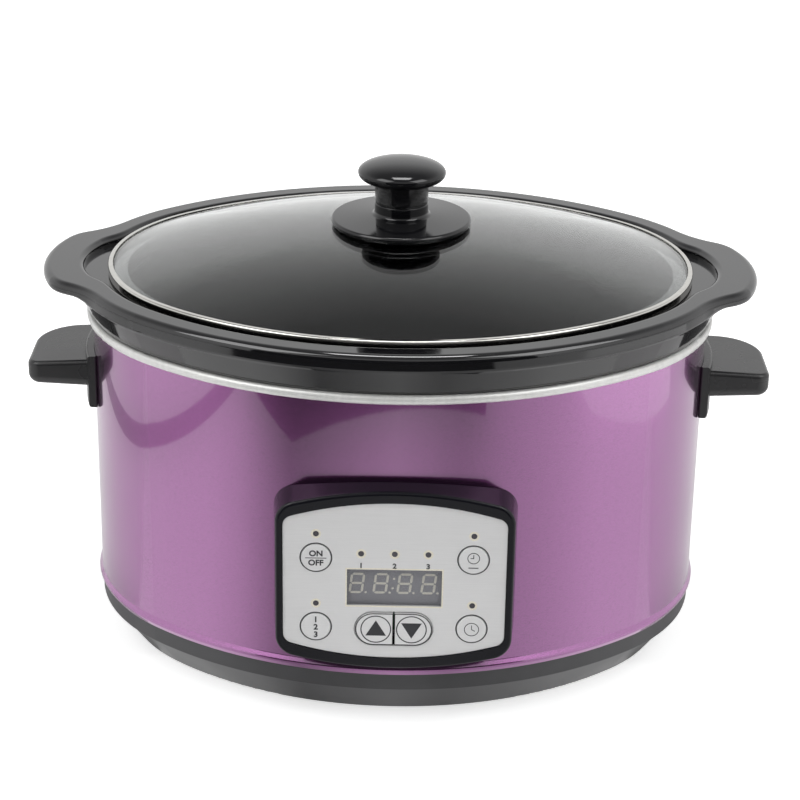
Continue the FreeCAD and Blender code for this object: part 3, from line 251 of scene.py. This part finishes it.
def plastic(name, colour, roughness, grain=900.0, grain_depth=0.02 * MM, coat=0.0, specular=0.5):
    """Moulded plastic: a little colour variation, uneven gloss and a fine moulded grain."""
    material, tree, shader = new_material(
        name, Coat_Weight=coat, Coat_Roughness=0.06, Specular_IOR_Level=specular
    )
    vector = object_coordinates(tree)
    broad = noise(tree, vector, scale=35.0, detail=4.0)
    tree.links.new(ramp(tree, broad, shade(colour, 0.88), shade(colour, 1.12)), shader.inputs["Base Color"])
    tree.links.new(ramp(tree, broad, roughness * 0.9, roughness * 1.12), shader.inputs["Roughness"])
    fine = noise(tree, vector, grain, detail=3.0)
    bump(tree, shader, fine, strength=0.35, distance=grain_depth)
    return material


def metal(
    name, colour, roughness, stretch=(1.0, 1.0, 1.0), grain=1200.0, depth=0.006 * MM,
    metallic=1.0, spread=0.06,
):
    """Metal with fine scratches along one direction and slightly uneven polish."""
    material, tree, shader = new_material(name, Metallic=metallic)
    vector = object_coordinates(tree, stretch)
    streaks = noise(tree, vector, grain, detail=4.0, roughness=0.65)
    darker = shade(colour, 1.0 - spread)
    lighter = shade(colour, 1.0 + spread)
    tree.links.new(ramp(tree, streaks, darker, lighter), shader.inputs["Base Color"])
    tree.links.new(ramp(tree, streaks, roughness * 0.8, roughness * 1.25), shader.inputs["Roughness"])
    bump(tree, shader, streaks, strength=0.3, distance=depth)
    return material


def metallic_paint(name, colour):
    """Tinted lacquer on bright steel sheet: fine flakes and a faint horizontal grain under a clear coat."""
    material, tree, shader = new_material(
        name, Metallic=1.0, Coat_Weight=1.0, Coat_Roughness=0.04, Coat_IOR=1.95
    )
    flakes = noise(tree, object_coordinates(tree), scale=2600.0, detail=2.0, roughness=0.6)
    grain_vector = object_coordinates(tree, stretch=(0.4, 0.4, 1.5))
    grain = noise(tree, grain_vector, scale=1300.0, detail=3.0, roughness=0.6)
    both = add(tree, "ShaderNodeMath", operation="ADD")
    tree.links.new(flakes, both.inputs[0])
    tree.links.new(grain, both.inputs[1])
    sparkle = both.outputs["Value"]
    tint = ramp(tree, sparkle, shade(colour, 0.86), shade(colour, 1.14), start=0.7, end=1.0)
    tree.links.new(tint, shader.inputs["Base Color"])
    tree.links.new(ramp(tree, grain, 0.2, 0.26), shader.inputs["Roughness"])
    bump(tree, shader, sparkle, strength=0.1, distance=0.004 * MM)
    return material


def glaze(name, colour):
    """Thick black glaze: deep gloss with a gentle ripple."""
    material, tree, shader = new_material(name, IOR=1.7)
    vector = object_coordinates(tree)
    broad = noise(tree, vector, scale=26.0, detail=3.0)
    tree.links.new(ramp(tree, broad, shade(colour, 0.8), shade(colour, 1.25)), shader.inputs["Base Color"])
    tree.links.new(ramp(tree, noise(tree, vector, scale=60.0), 0.05, 0.1), shader.inputs["Roughness"])
    bump(tree, shader, noise(tree, vector, scale=45.0), strength=0.15, distance=0.1 * MM)
    return material


def clear_glass(name, tint):
    """Clear pressed glass with a barely uneven surface."""
    material, tree, shader = new_material(name, Base_Color=tint, Transmission_Weight=1.0, IOR=1.5)
    vector = object_coordinates(tree)
    tree.links.new(ramp(tree, noise(tree, vector, scale=25.0), 0.0, 0.015), shader.inputs["Roughness"])
    bump(tree, shader, noise(tree, vector, scale=14.0), strength=0.05, distance=0.1 * MM)
    return material


def smoked_window(name, colour, cover):
    """Smoked acrylic: a thin dark tint that lets the digits behind it show."""
    material, tree, shader = new_material(name, Alpha=cover, IOR=1.49)
    vector = object_coordinates(tree)
    haze = noise(tree, vector, scale=60.0)
    tree.links.new(ramp(tree, haze, shade(colour, 0.95), shade(colour, 1.05)), shader.inputs["Base Color"])
    tree.links.new(ramp(tree, haze, 0.06, 0.1), shader.inputs["Roughness"])
    return material


def printed(name, colour, roughness=0.5):
    """Screen-printed ink with a slightly uneven film."""
    material, tree, shader = new_material(name)
    vector = object_coordinates(tree)
    film = noise(tree, vector, scale=2200.0)
    tree.links.new(ramp(tree, film, shade(colour, 0.9), shade(colour, 1.1)), shader.inputs["Base Color"])
    tree.links.new(ramp(tree, film, roughness * 0.9, roughness * 1.1), shader.inputs["Roughness"])
    return material


def make_finishes():
    """One material for each slot of the record."""
    satin_silver = dict(stretch=(0.03, 1.0, 1.0), grain=1500.0, depth=0.003 * MM, metallic=0.35, spread=0.025)
    rolled_rim = dict(stretch=(1.0, 1.0, 0.2), grain=300.0, depth=0.001 * MM)
    return {
        "shell_paint": metallic_paint("purple_metallic", (0.315, 0.1, 0.298)),
        "liner_steel": metal("bright_rim", (0.82, 0.82, 0.8), 0.36, metallic=0.35, **rolled_rim),
        "base_plastic": plastic("base_grey", (0.06, 0.06, 0.063), 0.4, grain=1400.0),
        "foot_rubber": plastic("foot_rubber", (0.02, 0.02, 0.02), 0.8, grain=1600.0),
        "plated_steel": metal("zinc_plate", (0.6, 0.6, 0.58), 0.35),
        "shield_sheet": metal("shield_sheet", (0.75, 0.75, 0.75), 0.4, stretch=(0.05, 1.0, 1.0)),
        "heater_element": metal("heater_foil", (0.5, 0.46, 0.4), 0.5, stretch=(0.1, 0.1, 1.0)),
        "crock_glaze": glaze("black_glaze", (0.004, 0.004, 0.005)),
        "lid_glass": clear_glass("lid_glass", (0.95, 0.97, 0.96)),
        "lid_steel": metal("polished_steel", (0.58, 0.57, 0.54), 0.1, **rolled_rim),
        "knob_plastic": plastic(
            "knob_black", (0.004, 0.004, 0.005), 0.1, grain=300.0, grain_depth=0.003 * MM
        ),
        "seal_silicone": plastic("seal_silicone", (0.05, 0.05, 0.05), 0.7),
        "handle_plastic": plastic(
            "handle_black", (0.022, 0.022, 0.023), 0.28, grain=1800.0, grain_depth=0.01 * MM
        ),
        "bezel_plastic": plastic(
            "bezel_black", (0.006, 0.006, 0.009), 0.2, grain=1200.0, grain_depth=0.004 * MM, specular=0.28
        ),
        "faceplate_silver": metal("faceplate_silver", (0.78, 0.78, 0.78), 0.42, **satin_silver),
        "window_smoke": smoked_window("window_smoke", (0.3, 0.3, 0.33), 0.12),
        "display_block": plastic("display_grey", (0.24, 0.24, 0.26), 0.45),
        "lamp_lens": plastic(
            "lamp_lens", (0.05, 0.045, 0.055), 0.2, grain=600.0, grain_depth=0.01 * MM, coat=0.5
        ),
        "button_silver": metal("button_silver", (0.8, 0.8, 0.8), 0.42, **satin_silver),
        "board_laminate": plastic("board_laminate", (0.02, 0.13, 0.05), 0.35),
        "switch_plastic": plastic("switch_black", (0.02, 0.02, 0.02), 0.5),
        "relay_plastic": plastic("relay_blue", (0.03, 0.08, 0.3), 0.35),
        "transformer_tape": plastic("transformer_tape", (0.5, 0.36, 0.05), 0.4),
        "capacitor_sleeve": plastic("capacitor_sleeve", (0.03, 0.03, 0.06), 0.25),
        "terminal_plastic": plastic("terminal_green", (0.05, 0.28, 0.1), 0.4),
        "sensor_steel": metal("sensor_steel", (0.7, 0.7, 0.68), 0.3),
        "fuse_sleeve": plastic("fuse_sleeve", (0.8, 0.77, 0.7), 0.8, grain=2500.0),
        "gland_plastic": plastic("gland_black", (0.02, 0.02, 0.02), 0.5),
        "cable_jacket": plastic("cable_jacket", (0.7, 0.68, 0.64), 0.6),
        "ribbon_jacket": plastic("ribbon_jacket", (0.45, 0.45, 0.46), 0.5),
    }


def dress_nodes(finishes):
    """Give every CAD node its finish."""
    for row in frame["record"]["subparts"]:
        item = nodes[row["node"]]
        for slot in item.material_slots:
            slot.material = finishes[row["material_slot"]]


# Printed marks and digits

class Marks:
    """Thin closed prisms on a plane of constant Y, gathered into one mesh."""

    def __init__(self, face_y):
        self.mesh = bmesh.new()
        self.front = face_y - PRINT_LIFT - PRINT_THICKNESS
        self.back = face_y - PRINT_LIFT

    def prism(self, outline):
        """Filled shape from its outline, given as (x, z) points."""
        front = [self.mesh.verts.new((x, self.front, z)) for x, z in outline]
        back = [self.mesh.verts.new((x, self.back, z)) for x, z in outline]
        self.mesh.faces.new(front)
        self.mesh.faces.new(list(reversed(back)))
        self.walls(front, back)

    def band(self, outer, inner):
        """Closed line between two outlines with as many points each."""
        rows = []
        for outline, y in ((outer, self.front), (inner, self.front), (inner, self.back), (outer, self.back)):
            rows.append([self.mesh.verts.new((x, y, z)) for x, z in outline])
        for row, following in zip(rows, rows[1:] + rows[:1]):
            self.walls(row, following)

    def walls(self, row, following):
        """Faces between two closed rows of points."""
        for index in range(len(row)):
            after = (index + 1) % len(row)
            self.mesh.faces.new((row[index], row[after], following[after], following[index]))

    def finish(self, name, body, material, slot):
        """Turn the marks into a piece of the scene."""
        bmesh.ops.recalc_face_normals(self.mesh, faces=self.mesh.faces)
        data = bpy.data.meshes.new(name)
        self.mesh.to_mesh(data)
        self.mesh.free()
        place(name, data, body, material)


def place(name, data, body, material):
    """Link a mesh as a piece that rides on a body."""
    piece = bpy.data.objects.new(name, data)
    bpy.context.scene.collection.objects.link(piece)
    data.materials.append(material)
    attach(piece, body)


def circle(x, z, radius):
    """Round outline about a middle."""
    turns = [2 * math.pi * step / ROUND_STEPS for step in range(ROUND_STEPS)]
    return [(x + radius * math.cos(turn), z + radius * math.sin(turn)) for turn in turns]


def rectangle(low, high):
    """Outline between two opposite corners."""
    return [(low[0], low[1]), (high[0], low[1]), (high[0], high[1]), (low[0], high[1])]


def half_stadium(side, straight_end, arc_centre, z, radius):
    """Outline of half a stadium whose straight end lies at the centre gap."""
    points = [(side * straight_end, z - radius)]
    for step in range(ROUND_STEPS // 2 + 1):
        turn = math.pi * (step / (ROUND_STEPS // 2) - 0.5)
        points.append((side * (arc_centre + radius * math.cos(turn)), z + radius * math.sin(turn)))
    points.append((side * straight_end, z + radius))
    return points


def text_mesh(words, height, x, z, face_y):
    """Lettering as a thin solid, centred on (x, z) on a plane of constant Y."""
    curve = bpy.data.curves.new("words", "FONT")
    curve.body = words
    curve.size = height / CAPITAL_SHARE
    curve.align_x = "CENTER"
    curve.align_y = "CENTER"
    curve.extrude = PRINT_THICKNESS / 2
    curve.offset = STROKE_GAIN
    curve.resolution_u = LETTER_CURVE_STEPS
    holder = bpy.data.objects.new("words", curve)
    data = bpy.data.meshes.new_from_object(holder)
    bpy.data.objects.remove(holder)
    data.transform(Matrix.Rotation(math.pi / 2, 4, "X"))
    low = Vector(min(v.co[axis] for v in data.vertices) for axis in range(3))
    high = Vector(max(v.co[axis] for v in data.vertices) for axis in range(3))
    middle = (low + high) / 2
    lie = face_y - PRINT_LIFT - PRINT_THICKNESS / 2
    data.transform(Matrix.Translation(Vector((x, lie, z)) - middle))
    return data


def add_text(marks, words, height, x, z):
    """Add lettering to a set of marks."""
    face_y = marks.back + PRINT_LIFT
    data = text_mesh(words, height, x, z, face_y)
    marks.mesh.from_mesh(data)
    bpy.data.meshes.remove(data)


def node_middle(name):
    """Middle of a node's box."""
    low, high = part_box(name)
    return (low + high) / 2


def bar(marks, x, z, length, width):
    """Level line centred on (x, z)."""
    low = (x - length / 2, z - width / 2)
    high = (x + length / 2, z + width / 2)
    marks.prism(rectangle(low, high))


def clock(marks, x, z, radius, hour_turn):
    """Plain clock sign: a ring, a long hand that points up and a short hand."""
    marks.band(circle(x, z, radius), circle(x, z, radius - CLOCK_LINE))
    half = CLOCK_LINE / 2
    for turn, reach in ((0.0, LONG_HAND), (hour_turn, SHORT_HAND)):
        along = (math.sin(turn), math.cos(turn))
        across = (math.cos(turn), -math.sin(turn))
        hand = rectangle((-half, -half), (half, reach * radius))
        marks.prism([(x + a * across[0] + b * along[0], z + a * across[1] + b * along[1]) for a, b in hand])


def mark_buttons(ink):
    """Generic signs on the push buttons, each riding on its own button."""
    buttons = [name for name in nodes if name.startswith("button_")]
    for name in buttons:
        middle = node_middle(name)
        x = middle.x
        z = middle.z
        marks = Marks(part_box(name)[0].y)
        if name == "button_on_off":
            add_text(marks, "ON", BUTTON_TEXT_HEIGHT, x, z + BUTTON_WORD_RISE)
            bar(marks, x, z, DIVIDER_LENGTH, DIVIDER_WIDTH)
            add_text(marks, "OFF", BUTTON_TEXT_HEIGHT, x, z - BUTTON_WORD_RISE)
        elif name == "button_mode":
            for row, words in enumerate(("1", "2", "3")):
                add_text(marks, words, BUTTON_TEXT_HEIGHT, x, z + (1 - row) * BUTTON_ROW_PITCH)
        elif name == "button_delay":
            clock(marks, x, z + DELAY_CLOCK_RISE, DELAY_CLOCK_RADIUS, DELAY_HOUR_TURN)
            bar(marks, x, z - DELAY_LINE_DROP, DELAY_LINE_LENGTH, DELAY_LINE_WIDTH)
        elif name == "button_time":
            clock(marks, x, z, TIME_CLOCK_RADIUS, TIME_HOUR_TURN)
        else:
            arrow(marks, name, z)
        marks.finish("marks_" + name, name, ink, "switch_plastic")


def arrow(marks, name, z):
    """Ring and filled triangle on an arrow key, and the outline along the key's edge."""
    low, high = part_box(name)
    side = -1 if name == "button_up" else 1
    point = -side
    inner_edge = min(abs(low.x), abs(high.x))
    outer_edge = max(abs(low.x), abs(high.x)) - BUTTON_FLANGE
    key_radius = (high.z - low.z) / 2 - BUTTON_FLANGE
    x = side * (inner_edge + ARROW_RING_RADIUS + ARROW_RING_OFFSET)
    marks.band(circle(x, z, ARROW_RING_RADIUS), circle(x, z, ARROW_RING_RADIUS - ARROW_RING_WIDTH))
    base = z - point * ARROW_HEIGHT * ARROW_BASE_SHARE
    tip = base + point * ARROW_HEIGHT
    marks.prism([(x - ARROW_BASE / 2, base), (x + ARROW_BASE / 2, base), (x, tip)])
    arc_centre = outer_edge - key_radius
    inset = ARROW_OUTLINE_WIDTH
    outline_outer = half_stadium(side, inner_edge, arc_centre, z, key_radius)
    outline_inner = half_stadium(side, inner_edge + inset / 2, arc_centre, z, key_radius - inset)
    marks.band(outline_outer, outline_inner)


def mark_faceplate(ink, cream):
    """Rings round the buttons and the lamps, the window's outline and the numbers under the lamps."""
    face_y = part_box("panel_faceplate")[0].y
    dark = Marks(face_y)
    pale = Marks(face_y)
    for name in ("button_on_off", "button_mode", "button_delay", "button_time"):
        middle = node_middle(name)
        low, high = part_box(name)
        hole = (high.x - low.x) / 2 - BUTTON_FLANGE + BUTTON_CLEARANCE
        dark.band(circle(middle.x, middle.z, hole + BUTTON_RING_WIDTH), circle(middle.x, middle.z, hole))
    lamps = lamp_middles()
    for x, z, radius in lamps:
        inner = radius + LAMP_RING_GAP
        pale.band(circle(x, z, inner + LAMP_RING_WIDTH), circle(x, z, inner))
    row = sorted(lamp for lamp in lamps if abs(lamp[0]) < LAMP_ROW_REACH)
    for index, (x, z, _) in enumerate(row):
        add_text(dark, str(index + 1), LABEL_HEIGHT, x, z - LABEL_DROP)
    outer = window_outline(WINDOW_FLANGE - WINDOW_LINE)
    pale.band(outer, window_outline(WINDOW_FLANGE))
    dark.finish("marks_faceplate_dark", "housing", ink, "switch_plastic")
    pale.finish("marks_faceplate_pale", "housing", cream, "cable_jacket")


def window_outline(inset):
    """Outline of the display window, drawn in from its node's edge."""
    low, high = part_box("display_window")
    return rectangle((low.x + inset, low.z + inset), (high.x - inset, high.z - inset))


def lamp_middles():
    """Middle and radius of each lamp, from the separate solids of the lamp node."""
    data = nodes["indicator_lamps"].data
    work = bmesh.new()
    work.from_mesh(data)
    bmesh.ops.remove_doubles(work, verts=work.verts, dist=1e-6)
    left = set(work.verts)
    found = []
    while left:
        group = [left.pop()]
        stack = list(group)
        while stack:
            for edge in stack.pop().link_edges:
                for vertex in edge.verts:
                    if vertex in left:
                        left.remove(vertex)
                        group.append(vertex)
                        stack.append(vertex)
        xs = [vertex.co.x for vertex in group]
        zs = [vertex.co.z for vertex in group]
        found.append(((min(xs) + max(xs)) / 2, (min(zs) + max(zs)) / 2, (max(xs) - min(xs)) / 2))
    work.free()
    return found


def segment(marks, start, end, middle_x, middle_z):
    """One slanted display segment with pointed ends, from start to end about a digit's middle."""
    along = Vector((end[0] - start[0], end[1] - start[1])).normalized()
    across = Vector((-along.y, along.x)) * SEGMENT_WIDTH / 2
    first = Vector(start) + along * SEGMENT_GAP
    last = Vector(end) - along * SEGMENT_GAP
    point = along * SEGMENT_WIDTH / 2
    lower = [first + point - across, last - point - across]
    upper = [last - point + across, first + point + across]
    outline = [first] + lower + [last] + upper
    marks.prism([(middle_x + p.x + p.y * DIGIT_SLANT, middle_z + p.y) for p in outline])


def make_digits(ink):
    """Four unlit digits with their points and the colon, on the face of the display block."""
    low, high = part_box("display_module")
    marks = Marks(low.y)
    middle_z = (low.z + high.z) / 2 + DIGIT_RISE
    half_width = DIGIT_WIDTH / 2
    half_height = DIGIT_HEIGHT / 2
    corner = {
        "tl": (-half_width, half_height), "tr": (half_width, half_height),
        "ml": (-half_width, 0.0), "mr": (half_width, 0.0),
        "bl": (-half_width, -half_height), "br": (half_width, -half_height),
    }
    strokes = ("tl tr", "ml mr", "bl br", "ml tl", "mr tr", "bl ml", "br mr")
    for index in range(DIGIT_COUNT):
        middle_x = (index - (DIGIT_COUNT - 1) / 2) * DIGIT_PITCH + DIGIT_SHIFT
        for stroke in strokes:
            start, end = stroke.split()
            segment(marks, corner[start], corner[end], middle_x, middle_z)
        marks.prism(circle(middle_x + half_width + POINT_GAP, middle_z - half_height, POINT_RADIUS))
    for rise in (-COLON_SHARE * DIGIT_HEIGHT, COLON_SHARE * DIGIT_HEIGHT):
        marks.prism(circle(COLON_SHIFT + rise * DIGIT_SLANT, middle_z + rise, POINT_RADIUS))
    marks.finish("display_digits", "housing", ink, "cable_jacket")


def tape_display(finish):
    """Grey tape along the display block's lower edge, down to the foot of the window."""
    low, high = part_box("display_module")
    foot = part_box("display_window")[0].z + WINDOW_FLANGE
    tape = Marks(low.y)
    tape.prism(rectangle((low.x, foot - TAPE_OVERLAP), (high.x, low.z + TAPE_OVERLAP)))
    tape.finish("display_tape", "housing", finish, "display_block")


# Studio and camera

def make_camera():
    """Camera on its fitted line of sight, with a slight roll."""
    azimuth = math.radians(CAMERA_AZIMUTH)
    elevation = math.radians(CAMERA_ELEVATION)
    roll = math.radians(CAMERA_ROLL)
    level = math.cos(elevation)
    back = Vector((math.sin(azimuth) * level, -math.cos(azimuth) * level, math.sin(elevation)))
    right = Vector((math.cos(azimuth), math.sin(azimuth), 0.0))
    up = back.cross(right)
    turned_right = right * math.cos(roll) + up * math.sin(roll)
    turned_up = up * math.cos(roll) - right * math.sin(roll)
    target = Vector((0.0, 0.0, CAMERA_TARGET_HEIGHT)) + right * CAMERA_TARGET_RIGHT
    data = bpy.data.cameras.new("camera")
    data.sensor_width = SENSOR_WIDTH
    data.lens = SENSOR_WIDTH * FOCAL_PIXELS / IMAGE_PIXELS
    camera = bpy.data.objects.new("camera", data)
    bpy.context.scene.collection.objects.link(camera)
    turn = Matrix((turned_right, turned_up, back)).transposed().to_4x4()
    camera.matrix_world = Matrix.Translation(target + back * CAMERA_DISTANCE) @ turn
    bpy.context.scene.camera = camera


def seen(tree):
    """1 for rays that show the background, directly, mirrored or through glass, and 0 for the others."""
    path = add(tree, "ShaderNodeLightPath")
    total = path.outputs["Is Camera Ray"]
    for output in ("Is Glossy Ray", "Is Transmission Ray"):
        both = add(tree, "ShaderNodeMath", operation="MAXIMUM")
        tree.links.new(total, both.inputs[0])
        tree.links.new(path.outputs[output], both.inputs[1])
        total = both.outputs["Value"]
    return total, path


def map_range(tree, value, low, high, start=0.0, end=1.0):
    """A value's span from start to end, mapped to low to high and held there beyond it."""
    node = add(tree, "ShaderNodeMapRange")
    for socket, number in (("From Min", start), ("From Max", end), ("To Min", low), ("To Max", high)):
        node.inputs[socket].default_value = number
    tree.links.new(value, node.inputs["Value"])
    return node


def make_world():
    """White surroundings under a dim ceiling, at a plain level where they light the part."""
    world = bpy.data.worlds.new("studio")
    bpy.context.scene.world = world
    world.use_nodes = True
    tree = world.node_tree
    background = tree.nodes["Background"]
    background.inputs["Color"].default_value = (1.0, 1.0, 1.0, 1.0)
    direction = add(tree, "ShaderNodeSeparateXYZ")
    tree.links.new(add(tree, "ShaderNodeTexCoord").outputs["Generated"], direction.inputs["Vector"])
    ceiling = map_range(tree, direction.outputs["Z"], 1.0, CEILING_LEVEL, CEILING_START, CEILING_END)
    strength = map_range(tree, seen(tree)[0], WORLD_LIGHT, 1.0)
    tree.links.new(ceiling.outputs["Result"], strength.inputs["To Max"])
    tree.links.new(strength.outputs["Result"], background.inputs["Strength"])


def make_floor():
    """Pale floor that keeps the object's shadow."""
    pale = (FLOOR_GREY, FLOOR_GREY, FLOOR_GREY)
    material, tree, shader = new_material(
        "floor", Base_Color=pale, Roughness=MATT, Emission_Color=(1.0, 1.0, 1.0)
    )
    shown, path = seen(tree)
    mirrored = map_range(tree, path.outputs["Glossy Depth"], FLOOR_GLOW, FLOOR_GLOW * FLOOR_MIRRORED_SHARE)
    glow = add(tree, "ShaderNodeMath", operation="MULTIPLY")
    tree.links.new(shown, glow.inputs[0])
    tree.links.new(mirrored.outputs["Result"], glow.inputs[1])
    tree.links.new(glow.outputs["Value"], shader.inputs["Emission Strength"])
    corners = rectangle((-FLOOR_REACH, -FLOOR_REACH), (FLOOR_REACH, FLOOR_REACH))
    floor = flat_sheet("floor", material, [(x, y, 0.0) for x, y in corners])


def flat_sheet(name, material, corners):
    """One flat face between its corners, as an object in the scene."""
    data = bpy.data.meshes.new(name)
    data.from_pydata(corners, [], [tuple(range(len(corners)))])
    data.materials.append(material)
    sheet = bpy.data.objects.new(name, data)
    bpy.context.scene.collection.objects.link(sheet)
    return sheet


def area_light(name, spot, width, depth, power):
    """Rectangular soft box at a spot, aimed at the part's middle."""
    data = bpy.data.lights.new(name, "AREA")
    data.shape = "RECTANGLE"
    data.size = width
    data.size_y = depth
    data.energy = power
    light = bpy.data.objects.new(name, data)
    bpy.context.scene.collection.objects.link(light)
    light.location = spot
    light.rotation_mode = "QUATERNION"
    light.rotation_quaternion = (Vector(LIGHT_AIM) - Vector(spot)).to_track_quat("-Z", "Y")


def studio_card(name, material, outline, lift=CARD_LIFT):
    """Level studio card that only reflections show."""
    show_in_reflections(flat_sheet(name, material, [(x, y, lift) for x, y in outline]))


def show_in_reflections(card):
    """Hide a card from all but reflections: it neither lights the part nor casts a shadow."""
    card.visible_camera = False
    card.visible_diffuse = False
    card.visible_transmission = False
    card.visible_shadow = False


def table_material():
    """Lit table top, unevenly bright round the front, by the angle from straight ahead."""
    material, tree, shader = new_material(
        "lit_table", Base_Color=(0.0, 0.0, 0.0), Specular_IOR_Level=0.0, Emission_Strength=1.0
    )
    coordinates = add(tree, "ShaderNodeTexCoord")
    ahead = add(tree, "ShaderNodeMapping", Location=TABLE_FOCUS, Rotation=(0.0, 0.0, math.pi / 2))
    tree.links.new(coordinates.outputs["Object"], ahead.inputs["Vector"])
    turn = add(tree, "ShaderNodeTexGradient", gradient_type="RADIAL")
    tree.links.new(ahead.outputs["Vector"], turn.inputs["Vector"])
    levels = add(tree, "ShaderNodeValToRGB")
    stops = levels.color_ramp.elements
    for angle, level in TABLE_LEVELS:
        stops.new(0.5 + angle / 360.0).color = (level, level, level, 1.0)
    stops.remove(stops[0])
    stops.remove(stops[-1])
    tree.links.new(turn.outputs["Fac"], levels.inputs["Fac"])
    tree.links.new(levels.outputs["Color"], shader.inputs["Emission Color"])
    return material


def lit_paper(name, level):
    """Evenly lit white paper."""
    material, _, _ = new_material(
        name, Base_Color=(0.0, 0.0, 0.0), Specular_IOR_Level=0.0,
        Emission_Color=(1.0, 1.0, 1.0), Emission_Strength=level,
    )
    return material


def grey_card(name, grey):
    """Plain matt grey that only takes the studio's light."""
    material, _, _ = new_material(name, Base_Color=(grey, grey, grey), Roughness=MATT)
    return material


def room_outline():
    """Floor of the unlit room, from the table's front and the round pool of light to its far edge."""
    turns = [POOL_START + POOL_TURN * step / POOL_STEPS for step in range(POOL_STEPS + 1)]
    pool = [(POOL_X + POOL_RADIUS * math.cos(t), POOL_Y + POOL_RADIUS * math.sin(t)) for t in turns]
    left_end = [(ROOM_LEFT, ROOM_LEFT_NEAR), TABLE_CORNER]
    right_end = [ROOM_RIGHT_BEND, (ROOM_RIGHT, ROOM_RIGHT_NEAR)]
    far_edge = [(ROOM_RIGHT, ROOM_FAR), (ROOM_LEFT, ROOM_FAR)]
    return left_end + pool + right_end + far_edge


def make_cards():
    """The unlit room with its wall, the lit table, the gap at its edge, the sweep and the sheet."""
    room = grey_card("unlit_room", ROOM_GREY)
    studio_card("front_room", room, room_outline())
    wall = rectangle((ROOM_LEFT, 0.0), (ROOM_RIGHT, ROOM_WALL_HEIGHT))
    show_in_reflections(flat_sheet("front_wall", room, [(x, ROOM_FAR, z) for x, z in wall]))
    table = rectangle((-TABLE_HALF_WIDTH, TABLE_FAR), (TABLE_HALF_WIDTH, TABLE_NEAR))
    studio_card("front_table", table_material(), table, TABLE_LIFT)
    studio_card("left_gap", grey_card("shaded_gap", GAP_GREY), rectangle(GAP_LOW, GAP_HIGH))
    sweep = rectangle((-FLOOR_REACH, SWEEP_START), (FLOOR_REACH, FLOOR_REACH))
    studio_card("back_sweep", lit_paper("lit_sweep", SWEEP_LEVEL), sweep)
    studio_card("right_sheet", lit_paper("lit_sheet", SHEET_LEVEL), SHEET_OUTLINE)


def make_lights():
    """Soft boxes to the left, to the right and above."""
    left = (-SIDE_BOX_REACH, SIDE_BOX_FRONT, SIDE_BOX_HEIGHT)
    right = (SIDE_BOX_REACH, SIDE_BOX_FRONT, SIDE_BOX_HEIGHT)
    area_light("left_box", left, SIDE_BOX_SIZE, SIDE_BOX_SIZE, LEFT_BOX_POWER)
    area_light("right_box", right, SIDE_BOX_SIZE, SIDE_BOX_SIZE, RIGHT_BOX_POWER)
    area_light("top_box", TOP_BOX_PLACE, TOP_BOX_WIDTH, TOP_BOX_DEPTH, TOP_BOX_POWER)


finishes = make_finishes()
dress_nodes(finishes)
dark_ink = printed("dark_ink", (0.035, 0.035, 0.04))
cream_ink = printed("cream_ink", (0.82, 0.78, 0.66))
digit_ink = printed("digit_ink", (0.7, 0.68, 0.58))
mark_buttons(dark_ink)
mark_faceplate(dark_ink, cream_ink)
make_digits(digit_ink)
tape_display(finishes["display_block"])
make_world()
make_floor()
make_cards()
make_lights()
make_camera()
bpy.context.scene.view_settings.view_transform = "Standard"
